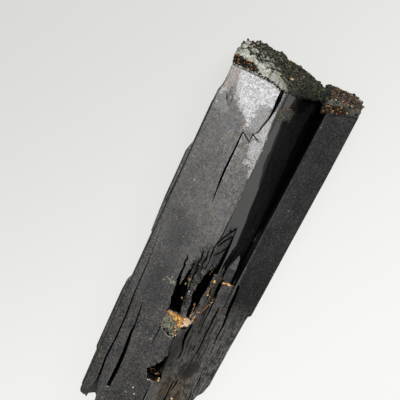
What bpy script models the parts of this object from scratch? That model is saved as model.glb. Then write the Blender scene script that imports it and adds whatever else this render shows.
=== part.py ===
"""An aegirine crystal: two parallel prisms grown together, their tip covered by a crust of small crystals.

Frame: +Y runs along the prisms to the crusted tip, +X points to the slim prism and +Z up.
The crystal lies on its back faces on z = 0, and the origin is at the bottom centre of its box.
Outlines are written in millimetres: (x, y) seen from the front, or (x, z) seen along the prisms.
"""
import math
import random

import bmesh
import bpy
from mathutils import Matrix, Vector

MM = 0.001

# Overall sizes, mm
HALF_LENGTH = 58.4
THICKNESS = 22.0

# Habit: the angle between the broad front face of an aegirine prism and the prism faces beside it.
# The face on the groove side is a little steeper.
PRISM_ANGLE = math.radians(43.5)
PRISM_SLOPE = math.tan(PRISM_ANGLE)
GROOVE_SLOPE = math.tan(math.radians(47.7))

# Broad prism, mm
BROAD_LEFT = -17.6
RIDGE_X = -0.5
BROAD_RIGHT = 8.3
BROAD_BACK = (-11.5, 1.0)
EDGE_BEVEL = 0.5

# Slim prism, mm
SLIM_FRONT_Z = 17.3
SLIM_WALL_X = 9.7
SLIM_WALL_ANGLE = math.radians(71.0)
SLIM_FACE_TILT = math.radians(6.0)
SLIM_BACK = (9.0, 14.0)

# A ledge runs along the slim prism's right side, mm: below it the side is set back
SLIM_LEDGE_Z = 10.5
SLIM_LEDGE_SETBACK = 0.5

# Tip, mm: where the prisms end and the crust begins, with the gap between the two solids
SEAM_Y = 52.1
SLIM_SEAM_POINT = (14.0, 51.4)
SLIM_SEAM_TILT = math.radians(16.0)
FIT_GAP = 0.3

# Overlap given to shapes that are joined or cut, so that no two faces lie in one plane, mm
OVERLAP = 1.0

# Crust of small crystals on the tip
CRUST_SEED = 11
CRUST_GRAINS = 96
GRAIN_SIZE = (1.3, 2.6)


def clear_scene():
    for old in list(bpy.data.objects):
        bpy.data.objects.remove(old, do_unlink=True)


def new_collection(name):
    collection = bpy.data.collections.new(name)
    bpy.context.scene.collection.children.link(collection)
    return collection


def new_material(name, colour, roughness):
    material = bpy.data.materials.new(name)
    material.use_nodes = True
    shader = material.node_tree.nodes["Principled BSDF"]
    shader.inputs["Base Color"].default_value = (*colour, 1.0)
    shader.inputs["Roughness"].default_value = roughness
    shader.inputs["Metallic"].default_value = 0.0
    return material


def extruded(name, outline, low, high, collection):
    """A closed prism with the given (x, y) outline between two heights, all in mm."""
    curve = bpy.data.curves.new(name, "CURVE")
    curve.dimensions = "2D"
    curve.fill_mode = "BOTH"
    curve.extrude = (high - low) / 2 * MM
    spline = curve.splines.new("POLY")
    spline.points.add(len(outline) - 1)
    spline.use_cyclic_u = True
    for point, (x, y) in zip(spline.points, outline):
        point.co = (x * MM, y * MM, 0.0, 1.0)
    guide = bpy.data.objects.new(name, curve)
    collection.objects.link(guide)
    guide.location.z = (low + high) / 2 * MM
    bpy.context.view_layer.update()
    mesh = bpy.data.meshes.new_from_object(guide.evaluated_get(bpy.context.evaluated_depsgraph_get()))
    mesh.transform(guide.matrix_world)
    bpy.data.objects.remove(guide, do_unlink=True)
    edit_mesh(mesh, lambda bm: bmesh.ops.remove_doubles(bm, verts=bm.verts, dist=0.00001))
    solid = bpy.data.objects.new(name, mesh)
    collection.objects.link(solid)
    return solid


def column(name, section, y_low, y_high, collection):
    """A closed prism with the given (x, z) section that runs along Y, all in mm."""
    solid = extruded(name, section, -y_high, -y_low, collection)
    solid.data.transform(Matrix.Rotation(math.pi / 2, 4, "X"))
    return solid


def edit_mesh(mesh, action):
    bm = bmesh.new()
    bm.from_mesh(mesh)
    action(bm)
    bm.to_mesh(mesh)
    bm.free()


def slice_off(solid, point, normal):
    """Cut away what lies beyond the plane through point (mm), on the side that normal points to."""

    def cut(bm):
        everything = bm.verts[:] + bm.edges[:] + bm.faces[:]
        plane_point = Vector(point) * MM
        plane_normal = Vector(normal).normalized()
        bmesh.ops.bisect_plane(
            bm, geom=everything, dist=1e-7, plane_co=plane_point, plane_no=plane_normal, clear_outer=True
        )
        rim = [edge for edge in bm.edges if edge.is_boundary]
        bmesh.ops.holes_fill(bm, edges=rim, sides=0)
        bmesh.ops.recalc_face_normals(bm, faces=bm.faces)

    edit_mesh(solid.data, cut)


def boolean(solid, other, operation):
    """Join, cut or trim a solid with another one, which becomes a hidden guide."""
    modifier = solid.modifiers.new(f"{operation.title()} {other.name}", "BOOLEAN")
    modifier.operation = operation
    modifier.object = other
    modifier.solver = "EXACT"
    other.hide_render = True
    other.display_type = "WIRE"
    return modifier


def keep_outer_body(solid):
    """Apply the modifiers and drop any small cavity that is closed off inside the solid."""
    bpy.context.view_layer.update()
    mesh = bpy.data.meshes.new_from_object(solid.evaluated_get(bpy.context.evaluated_depsgraph_get()))

    def drop_small_pieces(bm):
        pieces = []
        unseen = set(bm.verts)
        while unseen:
            front = [unseen.pop()]
            piece = set(front)
            while front:
                for edge in front.pop().link_edges:
                    for vert in edge.verts:
                        if vert in unseen:
                            unseen.remove(vert)
                            piece.add(vert)
                            front.append(vert)
            pieces.append(piece)
        largest = max(pieces, key=len)
        small = [vert for piece in pieces if piece is not largest for vert in piece]
        bmesh.ops.delete(bm, geom=small, context="VERTS")

    edit_mesh(mesh, drop_small_pieces)
    solid.modifiers.clear()
    solid.data = mesh


def ribbon(path, widths):
    """The outline of a narrow band along a path, with its full width at each point, in mm."""
    left, right = [], []
    last = len(path) - 1
    for index, (x, y) in enumerate(path):
        before = path[max(index - 1, 0)]
        after = path[min(index + 1, last)]
        along = Vector((after[0] - before[0], after[1] - before[1])).normalized()
        half = widths[index] / 2
        left.append((x - along.y * half, y + along.x * half))
        right.append((x + along.y * half, y - along.x * half))
    return left + right[::-1]


# The black crystal

# Blades that stand proud of the broad prism's left edge: outline and the height of their front
LEFT_BLADES = {
    "middle_blade": (
        [(-15, 29.4), (-17.7, 29.4), (-18.4, 26.6), (-18.4, 13.3), (-17.9, 4.0), (-15, 2.0)],
        21.75,
    ),
    "lower_blade": (
        [
            (-15.6, -10.3), (-17.3, -10.3), (-18.2, -12.6), (-18.4, -15.3), (-18.3, -32.6),
            (-17.9, -33.4), (-17.7, -43.2), (-17.4, -50.0), (-15.6, -50.0),
        ],
        21.8,
    ),
}
BLADE_FOOT_Z = 7.0
BLADE_BEVEL = 0.35

# The top left corner is set back, above a short slope
CORNER_SETBACK = [(-20, 60), (-16.75, 60), (-16.75, 45.6), (-17.7, 40.6), (-20, 40.6)]

# The broken lower left: the blade ends in a tip, and behind it the prism goes on, set back
BLADE_BREAK = [
    (-20, -44.3), (-18.2, -44.5), (-17.0, -47.6), (-15.2, -49.3), (-14.9, -48.0), (-13.4, -47.0),
    (-12.6, -47.9), (-12.3, -61), (-20, -61),
]
BLADE_BREAK_FRONT = [
    (-20, -43.4), (-17.8, -43.7), (-16.9, -45.6), (-16.3, -45.8), (-15.0, -43.2), (-14.5, -41.2),
    (-14.25, -39.7), (-14.0, -40.6), (-13.0, -44.8), (-12.6, -46.5), (-12.3, -61), (-20, -61),
]
BLADE_BREAK_STEP_Z = 17.0

# The slim prism seen from the front: tapering, with a small step on its right edge
SLIM_OUTLINE = [
    (6.0, -60), (6.0, 56), (18.5, 56), (17.9, 36), (15.95, -8.3), (15.3, -8.9), (15.1, -10.2),
    (14.5, -18.9), (14.0, -31.0), (13.3, -33.8), (12.2, -35.5), (11.7, -37.5), (10.9, -60),
]

# The columnar block that fills the groove's lower half, in two steps, and the tongue above it
GROOVE_BLOCK = [
    (5.0, -5.2), (5.5, -3.8), (7.5, -2.6), (9.3, -2.4), (10.5, -4.0), (10.5, -60), (2.0, -60),
    (2.0, -24), (4.4, -18),
]
GROOVE_BLOCK_Z = 16.8
GROOVE_LEDGE = [(7.1, -10.0), (8.4, -8.7), (9.7, -7.9), (9.8, -60), (6.9, -60), (7.0, -24.0)]
GROOVE_LEDGE_Z = 17.35
GROOVE_TONGUE = [
    (4.8, 4.2), (5.3, 5.6), (6.1, 5.6), (6.8, 4.4), (7.0, 1.4), (7.1, -5.0), (4.6, -5.0), (4.8, 1.6),
]
GROOVE_TONGUE_Z = 16.1

# Growth steps along the broad prism's back faces: two points on the face as (x, z), the depth of the
# step, and where it begins and ends along the prism
BACK_STEPS = {
    "left_back_step": ((-16.4, 4.65), (-13.9, 2.28), 0.5, -62.0, 14.0),
    "left_back_notch": ((-13.2, 1.61), (-12.4, 0.85), 0.35, -9.0, 60.0),
    "right_back_step": ((5.6, 4.37), (3.0, 1.9), 0.5, -26.0, 60.0),
}

# Cracks along the prisms: path, width at each point, and how deep they reach below the front
CRACKS = {
    "edge_crack": (
        [
            (-15.8, 5.3), (-15.2, -3.4), (-15.0, -13.8), (-14.5, -21.3), (-14.45, -28.0),
            (-14.7, -34.4), (-14.3, -38.7), (-14.2, -42.0),
        ],
        [0.12, 0.18, 0.25, 0.35, 0.4, 0.45, 0.6, 0.7],
        9.0,
    ),
    "second_crack": (
        [(-12.1, -15.0), (-11.25, -22.1), (-11.3, -25.2), (-10.8, -30.8), (-10.7, -35.7), (-10.95, -41.7)],
        [0.12, 0.45, 0.75, 1.05, 1.1, 1.0],
        5.0,
    ),
    "front_crack": ([(-7.0, 37.5), (-6.9, 30.6), (-6.9, 22.2), (-6.5, 16.9)], [0.25, 0.3, 0.25, 0.12], 3.0),
    "corner_crack": (
        [(-2.3, 53.0), (-2.2, 48.6), (-2.2, 46.0), (-2.4, 43.7), (-3.1, 40.9), (-3.5, 39.0), (-4.4, 38.0)],
        [0.9, 1.1, 0.65, 0.45, 0.35, 0.25, 0.12],
        3.5,
    ),
    "strip_crack": (
        [(2.4, 12.3), (2.55, 8.3), (2.5, 5.0), (2.5, 2.0), (2.4, -1.2)],
        [0.12, 0.5, 0.9, 1.0, 1.1],
        7.0,
    ),
    "block_crack": ([(9.55, -2.0), (9.9, -8.3), (10.2, -13.9), (10.1, -19.7)], [0.5, 0.55, 0.4, 0.15], 8.0),
    "inner_crack": ([(7.2, -9.9), (7.1, -15.3), (7.1, -24.5)], [0.15, 0.3, 0.12], 7.0),
    "outer_crack": ([(5.2, -6.8), (5.25, -13.0), (5.15, -19.6)], [0.4, 0.3, 0.12], 7.5),
    "under_pocket_crack": (
        [(2.6, -16.9), (2.3, -19.8), (2.45, -22.4), (3.1, -24.4), (3.3, -27.6)],
        [0.5, 0.9, 0.6, 0.35, 0.12],
        7.0,
    ),
    "left_pocket_crack": ([(-5.2, -16.3), (-4.9, -21.0), (-5.2, -25.6)], [0.2, 0.25, 0.12], 2.0),
    "low_crack": ([(4.6, -34.7), (4.6, -41.0), (4.2, -48.0)], [0.15, 0.45, 0.15], 7.5),
}

# The pocket below the ridge, as outlines and floor heights: two slots with a rib between them, and
# the recess that holds the ochre. The vug is lower down.
HOLLOWS = {
    "left_slot": (
        [(-6.5, 0.5), (-6.1, -7.2), (-5.0, -15.6), (-1.7, -15.6), (-2.9, -7.0), (-5.2, -3.0)],
        14.0,
    ),
    "right_slot": (
        [(1.3, 0.6), (-0.5, -2.5), (-0.6, -8.4), (0.0, -15.6), (1.1, -15.6), (1.7, -9.9), (2.3, -1.0)],
        11.5,
    ),
    "rib_top": ([(-4.2, 0.6), (-5.0, -3.0), (-2.8, -16.0), (0.4, -16.0), (0.2, -4.0), (-1.6, -0.6)], 20.2),
    "ochre_recess": (
        [
            (-5.1, -15.3), (2.4, -15.1), (2.9, -16.9), (1.3, -18.4), (0.1, -18.5), (0.1, -20.8),
            (-0.7, -21.7), (-2.4, -21.2), (-3.9, -20.4), (-5.2, -19.6),
        ],
        18.4,
    ),
    "lower_vug": ([(0.1, -27.4), (1.5, -34.4), (-2.0, -35.0), (-3.7, -32.4), (-2.2, -30.9)], 17.6),
}
HOLLOW_TOP_Z = 24.0


def broad_prism(guides):
    """The broad prism: front and back faces, with prism faces at the habit's angle beside them."""
    front_left = BROAD_LEFT + EDGE_BEVEL
    right_z = THICKNESS - (BROAD_RIGHT - RIDGE_X) * GROOVE_SLOPE
    back_left, back_right = BROAD_BACK
    section = [
        (front_left, THICKNESS),
        (BROAD_LEFT, THICKNESS - EDGE_BEVEL * PRISM_SLOPE),
        (BROAD_LEFT, (back_left - BROAD_LEFT) * PRISM_SLOPE),
        (back_left, 0.0),
        (back_right, 0.0),
        (BROAD_RIGHT, (BROAD_RIGHT - back_right) * PRISM_SLOPE),
        (BROAD_RIGHT, right_z),
        (RIDGE_X, THICKNESS),
    ]
    prism = column("broad_prism", section[::-1], -HALF_LENGTH - 3, SEAM_Y, guides)
    slice_off(prism, (-6.0, -HALF_LENGTH + 0.6, 6.0), (0.12, -1.0, -0.22))
    slice_off(prism, (-6.0, -HALF_LENGTH + 2.6, 18.0), (-0.10, -1.0, 0.42))
    slice_off(prism, (4.0, -HALF_LENGTH + 3.0, 10.0), (0.75, -1.0, 0.1))
    return prism


def slim_prism(guides):
    """The slim prism, with a steep wall to the groove and a lower front face."""
    prism = extruded("slim_prism", SLIM_OUTLINE, 0.0, THICKNESS, guides)
    wall = (-math.sin(SLIM_WALL_ANGLE), 0.034, math.cos(SLIM_WALL_ANGLE))
    front = (math.sin(SLIM_FACE_TILT), 0.0, math.cos(SLIM_FACE_TILT))
    slice_off(prism, (SLIM_WALL_X, 28.0, SLIM_FRONT_Z), wall)
    slice_off(prism, (SLIM_WALL_X, 28.0, SLIM_FRONT_Z), front)
    back_left, back_right = SLIM_BACK
    slice_off(prism, (back_left, 0.0, 0.0), (-math.sin(PRISM_ANGLE), 0.0, -math.cos(PRISM_ANGLE)))
    slice_off(prism, (back_right, 30.0, 0.0), (math.sin(PRISM_ANGLE), -0.04, -math.cos(PRISM_ANGLE)))
    seam_x, seam_y = SLIM_SEAM_POINT
    slice_off(prism, (seam_x, seam_y, 0.0), (-math.sin(SLIM_SEAM_TILT), math.cos(SLIM_SEAM_TILT), 0.0))
    right_edge = [(x - SLIM_LEDGE_SETBACK, y) for x, y in SLIM_OUTLINE[2:]]
    ledge = extruded("slim_ledge", right_edge + [(30, -60), (30, 56)], -OVERLAP, SLIM_LEDGE_Z, guides)
    boolean(prism, ledge, "DIFFERENCE")
    slice_off(prism, (12.0, -HALF_LENGTH + 5.0, 8.0), (0.35, -1.0, 0.3))
    slice_off(prism, (9.0, -HALF_LENGTH + 2.6, 5.0), (-0.2, -1.0, -0.25))
    return prism


def left_blades(prism, guides):
    for name, (outline, front_z) in LEFT_BLADES.items():
        blade = extruded(name, outline, BLADE_FOOT_Z, front_z, guides)
        outermost = min(x for x, y in outline)
        front_bevel = (-math.sin(PRISM_ANGLE), 0.0, math.cos(PRISM_ANGLE))
        back_bevel = (-math.sin(PRISM_ANGLE), 0.0, -math.cos(PRISM_ANGLE))
        slice_off(blade, (outermost + BLADE_BEVEL, 0.0, front_z), front_bevel)
        slice_off(blade, (outermost, 0.0, BLADE_FOOT_Z + 2), back_bevel)
        boolean(prism, blade, "UNION")


def back_steps(prism, guides):
    """Cut the growth steps: each is a band along the prism, sunk into the back face by its depth."""
    for name, (first, second, depth, y_low, y_high) in BACK_STEPS.items():
        first, second = Vector(first), Vector(second)
        along = (second - first).normalized()
        outward = Vector((along.y, -along.x))
        if outward.y > 0:
            outward = -outward
        section = [
            first + outward * OVERLAP,
            first - outward * depth,
            second - outward * depth,
            second + outward * OVERLAP,
        ]
        boolean(prism, column(name, [tuple(point) for point in section], y_low, y_high, guides), "DIFFERENCE")


def groove_fillings(prism, guides):
    """The block, its upper step and the tongue, which fill the lower half of the groove."""
    block = extruded("groove_block", GROOVE_BLOCK, 8.0, GROOVE_BLOCK_Z, guides)
    ledge = extruded("groove_ledge", GROOVE_LEDGE, 9.0, GROOVE_LEDGE_Z, guides)
    tongue = extruded("groove_tongue", GROOVE_TONGUE, 9.5, GROOVE_TONGUE_Z, guides)
    slice_off(block, (6.0, -HALF_LENGTH + 3.4, 12.0), (0.1, -1.0, 0.2))
    slice_off(ledge, (6.0, -HALF_LENGTH + 4.1, 12.0), (0.2, -1.0, 0.1))
    slice_off(tongue, (5.8, 4.9, GROOVE_TONGUE_Z - 1.2), (0.0, 0.35, 1.0))
    for piece in (block, ledge, tongue):
        boolean(prism, piece, "UNION")


def cut_cracks_and_hollows(prism, guides):
    for name, (path, widths, depth) in CRACKS.items():
        cutter = extruded(name, ribbon(path, widths), THICKNESS - depth, THICKNESS + OVERLAP, guides)
        boolean(prism, cutter, "DIFFERENCE")
    for name, (outline, floor_z) in HOLLOWS.items():
        cutter = extruded(name, outline, floor_z, HOLLOW_TOP_Z, guides)
        boolean(prism, cutter, "DIFFERENCE")


def make_crystal(parts, guides):
    crystal = broad_prism(guides)
    guides.objects.unlink(crystal)
    parts.objects.link(crystal)
    crystal.name = "crystal"
    corner = extruded("corner_setback", CORNER_SETBACK, -OVERLAP, THICKNESS + OVERLAP, guides)
    boolean(crystal, corner, "DIFFERENCE")
    left_blades(crystal, guides)
    back_steps(crystal, guides)
    boolean(crystal, slim_prism(guides), "UNION")
    groove_fillings(crystal, guides)
    whole_break = extruded("blade_break", BLADE_BREAK, -OVERLAP, THICKNESS + OVERLAP, guides)
    front_break = extruded(
        "blade_break_front", BLADE_BREAK_FRONT, BLADE_BREAK_STEP_Z, THICKNESS + OVERLAP, guides
    )
    boolean(crystal, whole_break, "DIFFERENCE")
    boolean(crystal, front_break, "DIFFERENCE")
    cut_cracks_and_hollows(crystal, guides)
    crystal.data.materials.append(new_material("Black aegirine", (0.012, 0.012, 0.013), 0.32))
    return crystal


# The crust on the tip

# The crust over each prism seen along the prisms, a little wider than the prism that it covers
BROAD_CAP_SECTION = [
    (-16.1, 22.15), (-16.95, 21.3), (-16.95, 6.2), (-11.2, 0.6), (1.4, 0.6), (9.4, 7.5), (9.4, 14.4),
    (4.4, 17.8), (-0.4, 22.15),
]
SLIM_CAP_SECTION = [(8.6, 17.6), (8.6, 2.6), (10.2, 0.9), (14.4, 0.9), (18.4, 5.0), (18.4, 16.4)]

# Slices that round the crust's end: a point on the plane and the way it faces
BROAD_CAP_SLICES = [
    ((-12.8, 57.5, 11.0), (0.08, 1.0, 0.0)),
    ((2.8, 56.1, 11.0), (0.44, 1.0, 0.0)),
    ((-15.6, 56.9, 11.0), (-0.6, 1.0, 0.0)),
    ((-16.6, 55.8, 11.0), (-1.0, 0.5, 0.0)),
    ((-2.0, 53.9, 22.0), (0.23, 1.0, 0.25)),
    ((-12.0, 55.7, 22.0), (0.1, 1.0, 1.0)),
    ((-8.0, 57.2, 3.2), (0.05, 1.0, -0.4)),
]
SLIM_CAP_SLICES = [
    ((12.3, 55.3, 9.0), (-0.10, 1.0, 0.0)),
    ((16.8, 55.2, 9.0), (0.3, 1.0, 0.0)),
    ((14.0, 54.8, 16.6), (0.0, 0.6, 1.0)),
    ((14.0, 54.8, 3.0), (0.0, 1.0, -0.4)),
]


def cap(name, section, y_low, slices, guides):
    solid = column(name, section[::-1], y_low, HALF_LENGTH + 2, guides)
    for point, normal in slices:
        slice_off(solid, point, normal)
    return solid


def grain_cluster(name, centres, rng, guides):
    """Small blocky crystals, each a cube turned at random, gathered in one mesh."""
    mesh = bpy.data.meshes.new(name)

    def build(bm):
        for centre in centres:
            size = rng.uniform(*GRAIN_SIZE) * MM
            turn = Matrix.Rotation(rng.uniform(0, math.pi), 4, Vector([rng.uniform(-1, 1) for _ in range(3)]))
            shape = Matrix.Diagonal((size, size * rng.uniform(0.5, 0.9), size * rng.uniform(0.6, 1.1), 1.0))
            bmesh.ops.create_cube(bm, size=1.0, matrix=Matrix.Translation(Vector(centre) * MM) @ turn @ shape)

    edit_mesh(mesh, build)
    cluster = bpy.data.objects.new(name, mesh)
    guides.objects.link(cluster)
    return cluster


def end_height(x, z, slices):
    """How far along Y the rounded end reaches at (x, z), in mm."""
    heights = []
    for (px, py, pz), (nx, ny, nz) in slices:
        heights.append(py - ((x - px) * nx + (z - pz) * nz) / ny)
    return min(heights)


def seam_room(guides):
    """The space of the two prisms below the crust, with the gap that separates the solids."""
    seam_x, seam_y = SLIM_SEAM_POINT
    slope = math.tan(SLIM_SEAM_TILT)
    rise = seam_y + FIT_GAP / math.cos(SLIM_SEAM_TILT)
    step_x = BROAD_RIGHT + FIT_GAP
    outline = [
        (-30.0, SEAM_Y + FIT_GAP),
        (step_x, SEAM_Y + FIT_GAP),
        (step_x, rise + (step_x - seam_x) * slope),
        (30.0, rise + (30.0 - seam_x) * slope),
        (30.0, 0.0),
        (-30.0, 0.0),
    ]
    return extruded("seam_room", outline, -5.0, THICKNESS + 5.0, guides)


def make_crust(parts, guides):
    rng = random.Random(CRUST_SEED)
    crust = cap("tip_crust", BROAD_CAP_SECTION, SEAM_Y + FIT_GAP, BROAD_CAP_SLICES, parts)
    slim_cap = cap("slim_cap", SLIM_CAP_SECTION, SEAM_Y - 4.0, SLIM_CAP_SLICES, guides)
    boolean(crust, slim_cap, "UNION")
    centres = []
    while len(centres) < CRUST_GRAINS:
        x = rng.uniform(-16.0, 17.4)
        z = rng.uniform(2.0, 20.5)
        if x < 9.0:
            inside = z < THICKNESS - 1.0 - max(0.0, x - RIDGE_X) * 0.62 and z > abs(x + 5.0) - 9.5
            end = end_height(x, z, BROAD_CAP_SLICES)
        else:
            inside = 2.0 < z < 15.6 and z > x - 13.5
            end = end_height(x, z, SLIM_CAP_SLICES)
        if inside:
            centres.append((x, end - 0.35, z))
    grains = grain_cluster("crust_grains", centres, rng, guides)
    boolean(crust, grains, "UNION").use_self = True
    boolean(crust, seam_room(guides), "DIFFERENCE")
    keep_outer_body(crust)
    crust.data.materials.append(new_material("Crust of small crystals", (0.075, 0.07, 0.055), 0.7))
    return crust


# The ochre in the pocket

OCHRE_OUTLINE = [
    (-4.7, -15.7), (2.0, -15.5), (2.5, -16.7), (1.0, -18.0), (-0.3, -18.1), (-0.3, -20.6),
    (-0.8, -21.3), (-2.2, -20.8), (-3.7, -20.0), (-4.8, -19.3),
]
OCHRE_FLOOR_Z = 18.75
OCHRE_FRONT_Z = 20.6
OCHRE_LUMPS = [
    (-3.9, -16.6, 1.2), (-2.4, -16.7, 1.3), (-0.7, -17.0, 1.3), (1.1, -16.8, 1.1), (-3.5, -18.5, 1.1),
    (-1.7, -19.3, 1.2),
]


def make_ochre(parts, guides):
    ochre = extruded("pocket_ochre", OCHRE_OUTLINE, OCHRE_FLOOR_Z, OCHRE_FRONT_Z, parts)
    slice_off(ochre, (-1.0, -16.5, OCHRE_FRONT_Z), (0.1, 0.5, 1.0))
    slice_off(ochre, (-1.0, -18.5, OCHRE_FRONT_Z), (-0.1, -0.4, 1.0))
    mesh = bpy.data.meshes.new("ochre_lumps")

    def build(bm):
        for x, y, radius in OCHRE_LUMPS:
            place = Matrix.Translation(Vector((x, y, OCHRE_FRONT_Z - 0.55)) * MM)
            bmesh.ops.create_icosphere(bm, subdivisions=1, radius=radius * MM, matrix=place)

    edit_mesh(mesh, build)
    lumps = bpy.data.objects.new("ochre_lumps", mesh)
    guides.objects.link(lumps)
    boolean(ochre, lumps, "UNION").use_self = True
    room = extruded("ochre_room", OCHRE_OUTLINE, OCHRE_FLOOR_Z, THICKNESS + OVERLAP, guides)
    boolean(ochre, room, "INTERSECT")
    ochre.data.materials.append(new_material("Ochre iron oxide", (0.42, 0.22, 0.07), 0.9))
    return ochre


def main():
    clear_scene()
    parts = new_collection("Aegirine crystal")
    guides = new_collection("Guides")
    make_crystal(parts, guides)
    make_crust(parts, guides)
    make_ochre(parts, guides)


main()
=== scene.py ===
import math
import random

import bmesh
import bpy
from mathutils import Matrix, Vector, noise
from mathutils.bvhtree import BVHTree
from mathutils.kdtree import KDTree


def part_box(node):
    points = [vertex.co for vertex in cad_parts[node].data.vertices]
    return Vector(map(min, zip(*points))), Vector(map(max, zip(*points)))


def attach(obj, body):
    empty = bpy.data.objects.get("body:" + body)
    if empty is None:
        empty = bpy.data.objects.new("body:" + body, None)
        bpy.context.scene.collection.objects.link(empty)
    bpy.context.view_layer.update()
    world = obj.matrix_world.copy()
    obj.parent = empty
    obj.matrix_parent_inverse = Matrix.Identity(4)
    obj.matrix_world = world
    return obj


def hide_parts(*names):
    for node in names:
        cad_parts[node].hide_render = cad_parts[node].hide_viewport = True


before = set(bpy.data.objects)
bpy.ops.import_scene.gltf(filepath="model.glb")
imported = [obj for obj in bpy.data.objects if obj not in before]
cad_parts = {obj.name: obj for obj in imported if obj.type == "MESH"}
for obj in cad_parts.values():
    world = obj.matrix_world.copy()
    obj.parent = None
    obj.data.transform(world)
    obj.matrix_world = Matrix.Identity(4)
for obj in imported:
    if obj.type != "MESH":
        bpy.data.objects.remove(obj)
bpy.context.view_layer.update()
mm = 0.001
print("frame loaded")


class Signal:  # a shader socket that can stand in a Python expression
    def __init__(self, tree, socket=None):
        self.tree = tree
        self.socket = socket

    def node(self, kind, settings=None, inputs=None, output=0):  # any node: settings first, then sockets
        made = self.tree.nodes.new("ShaderNode" + kind)
        for name, value in (settings or {}).items():
            setattr(made, name, value)
        for name, value in (inputs or {}).items():
            if isinstance(value, Signal):
                self.tree.links.new(value.socket, made.inputs[name])
            else:
                made.inputs[name].default_value = value
        return Signal(self.tree, made.outputs[output] if made.outputs else None)

    def calc(self, operation, a, b=0.0, clamp=False):
        return self.node("Math", {"operation": operation, "use_clamp": clamp}, {0: a, 1: b})

    def __add__(self, other):
        return self.calc("ADD", self, other)

    __radd__ = __add__

    def __sub__(self, other):
        return self.calc("SUBTRACT", self, other)

    def __rsub__(self, other):
        return self.calc("SUBTRACT", other, self)

    def __mul__(self, other):
        return self.calc("MULTIPLY", self, other)

    __rmul__ = __mul__

    def clamped(self):
        return self.calc("ADD", self, 0.0, clamp=True)

    def most(self, *others):
        highest = self
        for other in others:
            highest = self.calc("MAXIMUM", highest, other)
        return highest

    def least(self, other):
        return self.calc("MINIMUM", self, other)

    def ramp(self, low, high):  # 0 at low, 1 at high, smooth between; low may be the larger
        values = {"Value": self, "From Min": low, "From Max": high}
        return self.node("MapRange", {"interpolation_type": "SMOOTHSTEP"}, values)

    def stretched(self, factors):  # a vector times a vector
        return self.node("VectorMath", {"operation": "MULTIPLY"}, {0: self, 1: factors})

    def noise(self, scale, detail=2.0, rough=0.5):
        values = {"Vector": self, "Scale": scale, "Detail": detail, "Roughness": rough}
        return self.node("TexNoise", None, values)

    def cells(self, scale, output=0):  # 0: distance to the nearest cell's point, 1: the cell's own colour
        return self.node("TexVoronoi", {"feature": "F1"}, {"Vector": self, "Scale": scale}, output)

    def mixed(self, first, second):  # self is the factor between two colours
        return self.node("Mix", {"data_type": "RGBA"}, {0: self, 6: first, 7: second}, output=2)

    def attribute(self, name, output=2):  # 2: a number kept on the mesh, 0: a colour
        return self.node("Attribute", {"attribute_name": name}, None, output)


def rgb(red, green, blue):
    return (red, green, blue, 1.0)


def newMaterial(name):
    material = bpy.data.materials.new(name)
    material.use_nodes = True
    tree = material.node_tree
    tree.nodes.clear()
    start = Signal(tree)
    place = start.node("TexCoord", output=3).stretched((1000.0, 1000.0, 1000.0))  # object millimetres
    x = start.node("SeparateXYZ", None, {0: place})
    y = Signal(tree, x.socket.node.outputs[1])
    z = Signal(tree, x.socket.node.outputs[2])
    return material, start, place, x, y, z


def finishMaterial(start, colour, rough, height, bump, constants=None, shade=None):
    values = {"Strength": bump["strength"], "Distance": bump["distance"], "Height": height}
    normal = start.node("Bump", None, values)
    inputs = {"Base Color": colour, "Roughness": rough, "Normal": normal}
    inputs.update(constants or {})
    surface = start.node("BsdfPrincipled", None, inputs)
    if shade:  # where little light gets in
        matte = start.node("BsdfDiffuse", None, {"Color": rgb(0.002, 0.002, 0.002)})
        surface = start.node("MixShader", None, {0: shade, 1: surface, 2: matte})
    start.node("OutputMaterial", None, {"Surface": surface})


def insideOutline(x, y, corners):  # mm inside the nearest side of a convex, counter-clockwise outline
    nearest = None
    for (x1, y1), (x2, y2) in zip(corners, corners[1:] + corners[:1]):
        length = math.hypot(x2 - x1, y2 - y1)
        across, along = (y1 - y2) / length, (x2 - x1) / length
        side = across * x + along * y - (across * x1 + along * y1)
        nearest = nearest.least(side) if nearest else side
    return nearest


def addObject(name, data):
    made = bpy.data.objects.new(name, data)
    bpy.context.scene.collection.objects.link(made)
    return made


# The floor, the light and the camera

camera = dict(
    tiltDegrees=15.0,  # from straight above, towards the tip
    rollDegrees=25.0,  # the crystal leans this far to the right in the frame
    distance=400 * mm,
    target=Vector((-9.6, 16.3, 22.0)) * mm,  # the point of the front face in the middle of the frame
    frameWidth=104 * mm,  # what the frame spans at the target
    sensor=36.0,
)


def makeCamera():
    tilt = math.radians(camera["tiltDegrees"])
    roll = math.radians(camera["rollDegrees"])
    back = Vector((0.0, math.sin(tilt), math.cos(tilt)))
    along = Vector((0.0, math.cos(tilt), -math.sin(tilt)))
    across = Vector((1.0, 0.0, 0.0))
    right = across * math.cos(roll) + along * math.sin(roll)
    up = along * math.cos(roll) - across * math.sin(roll)
    data = bpy.data.cameras.new("camera")
    data.sensor_width = camera["sensor"]
    data.lens = camera["sensor"] * camera["distance"] / camera["frameWidth"]
    data.clip_start = 0.01
    data.clip_end = 10.0
    eye = addObject("camera", data)
    place = Matrix((right, up, back)).transposed().to_4x4()
    place.translation = camera["target"] + back * camera["distance"]
    eye.matrix_world = place
    bpy.context.scene.camera = eye


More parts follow.
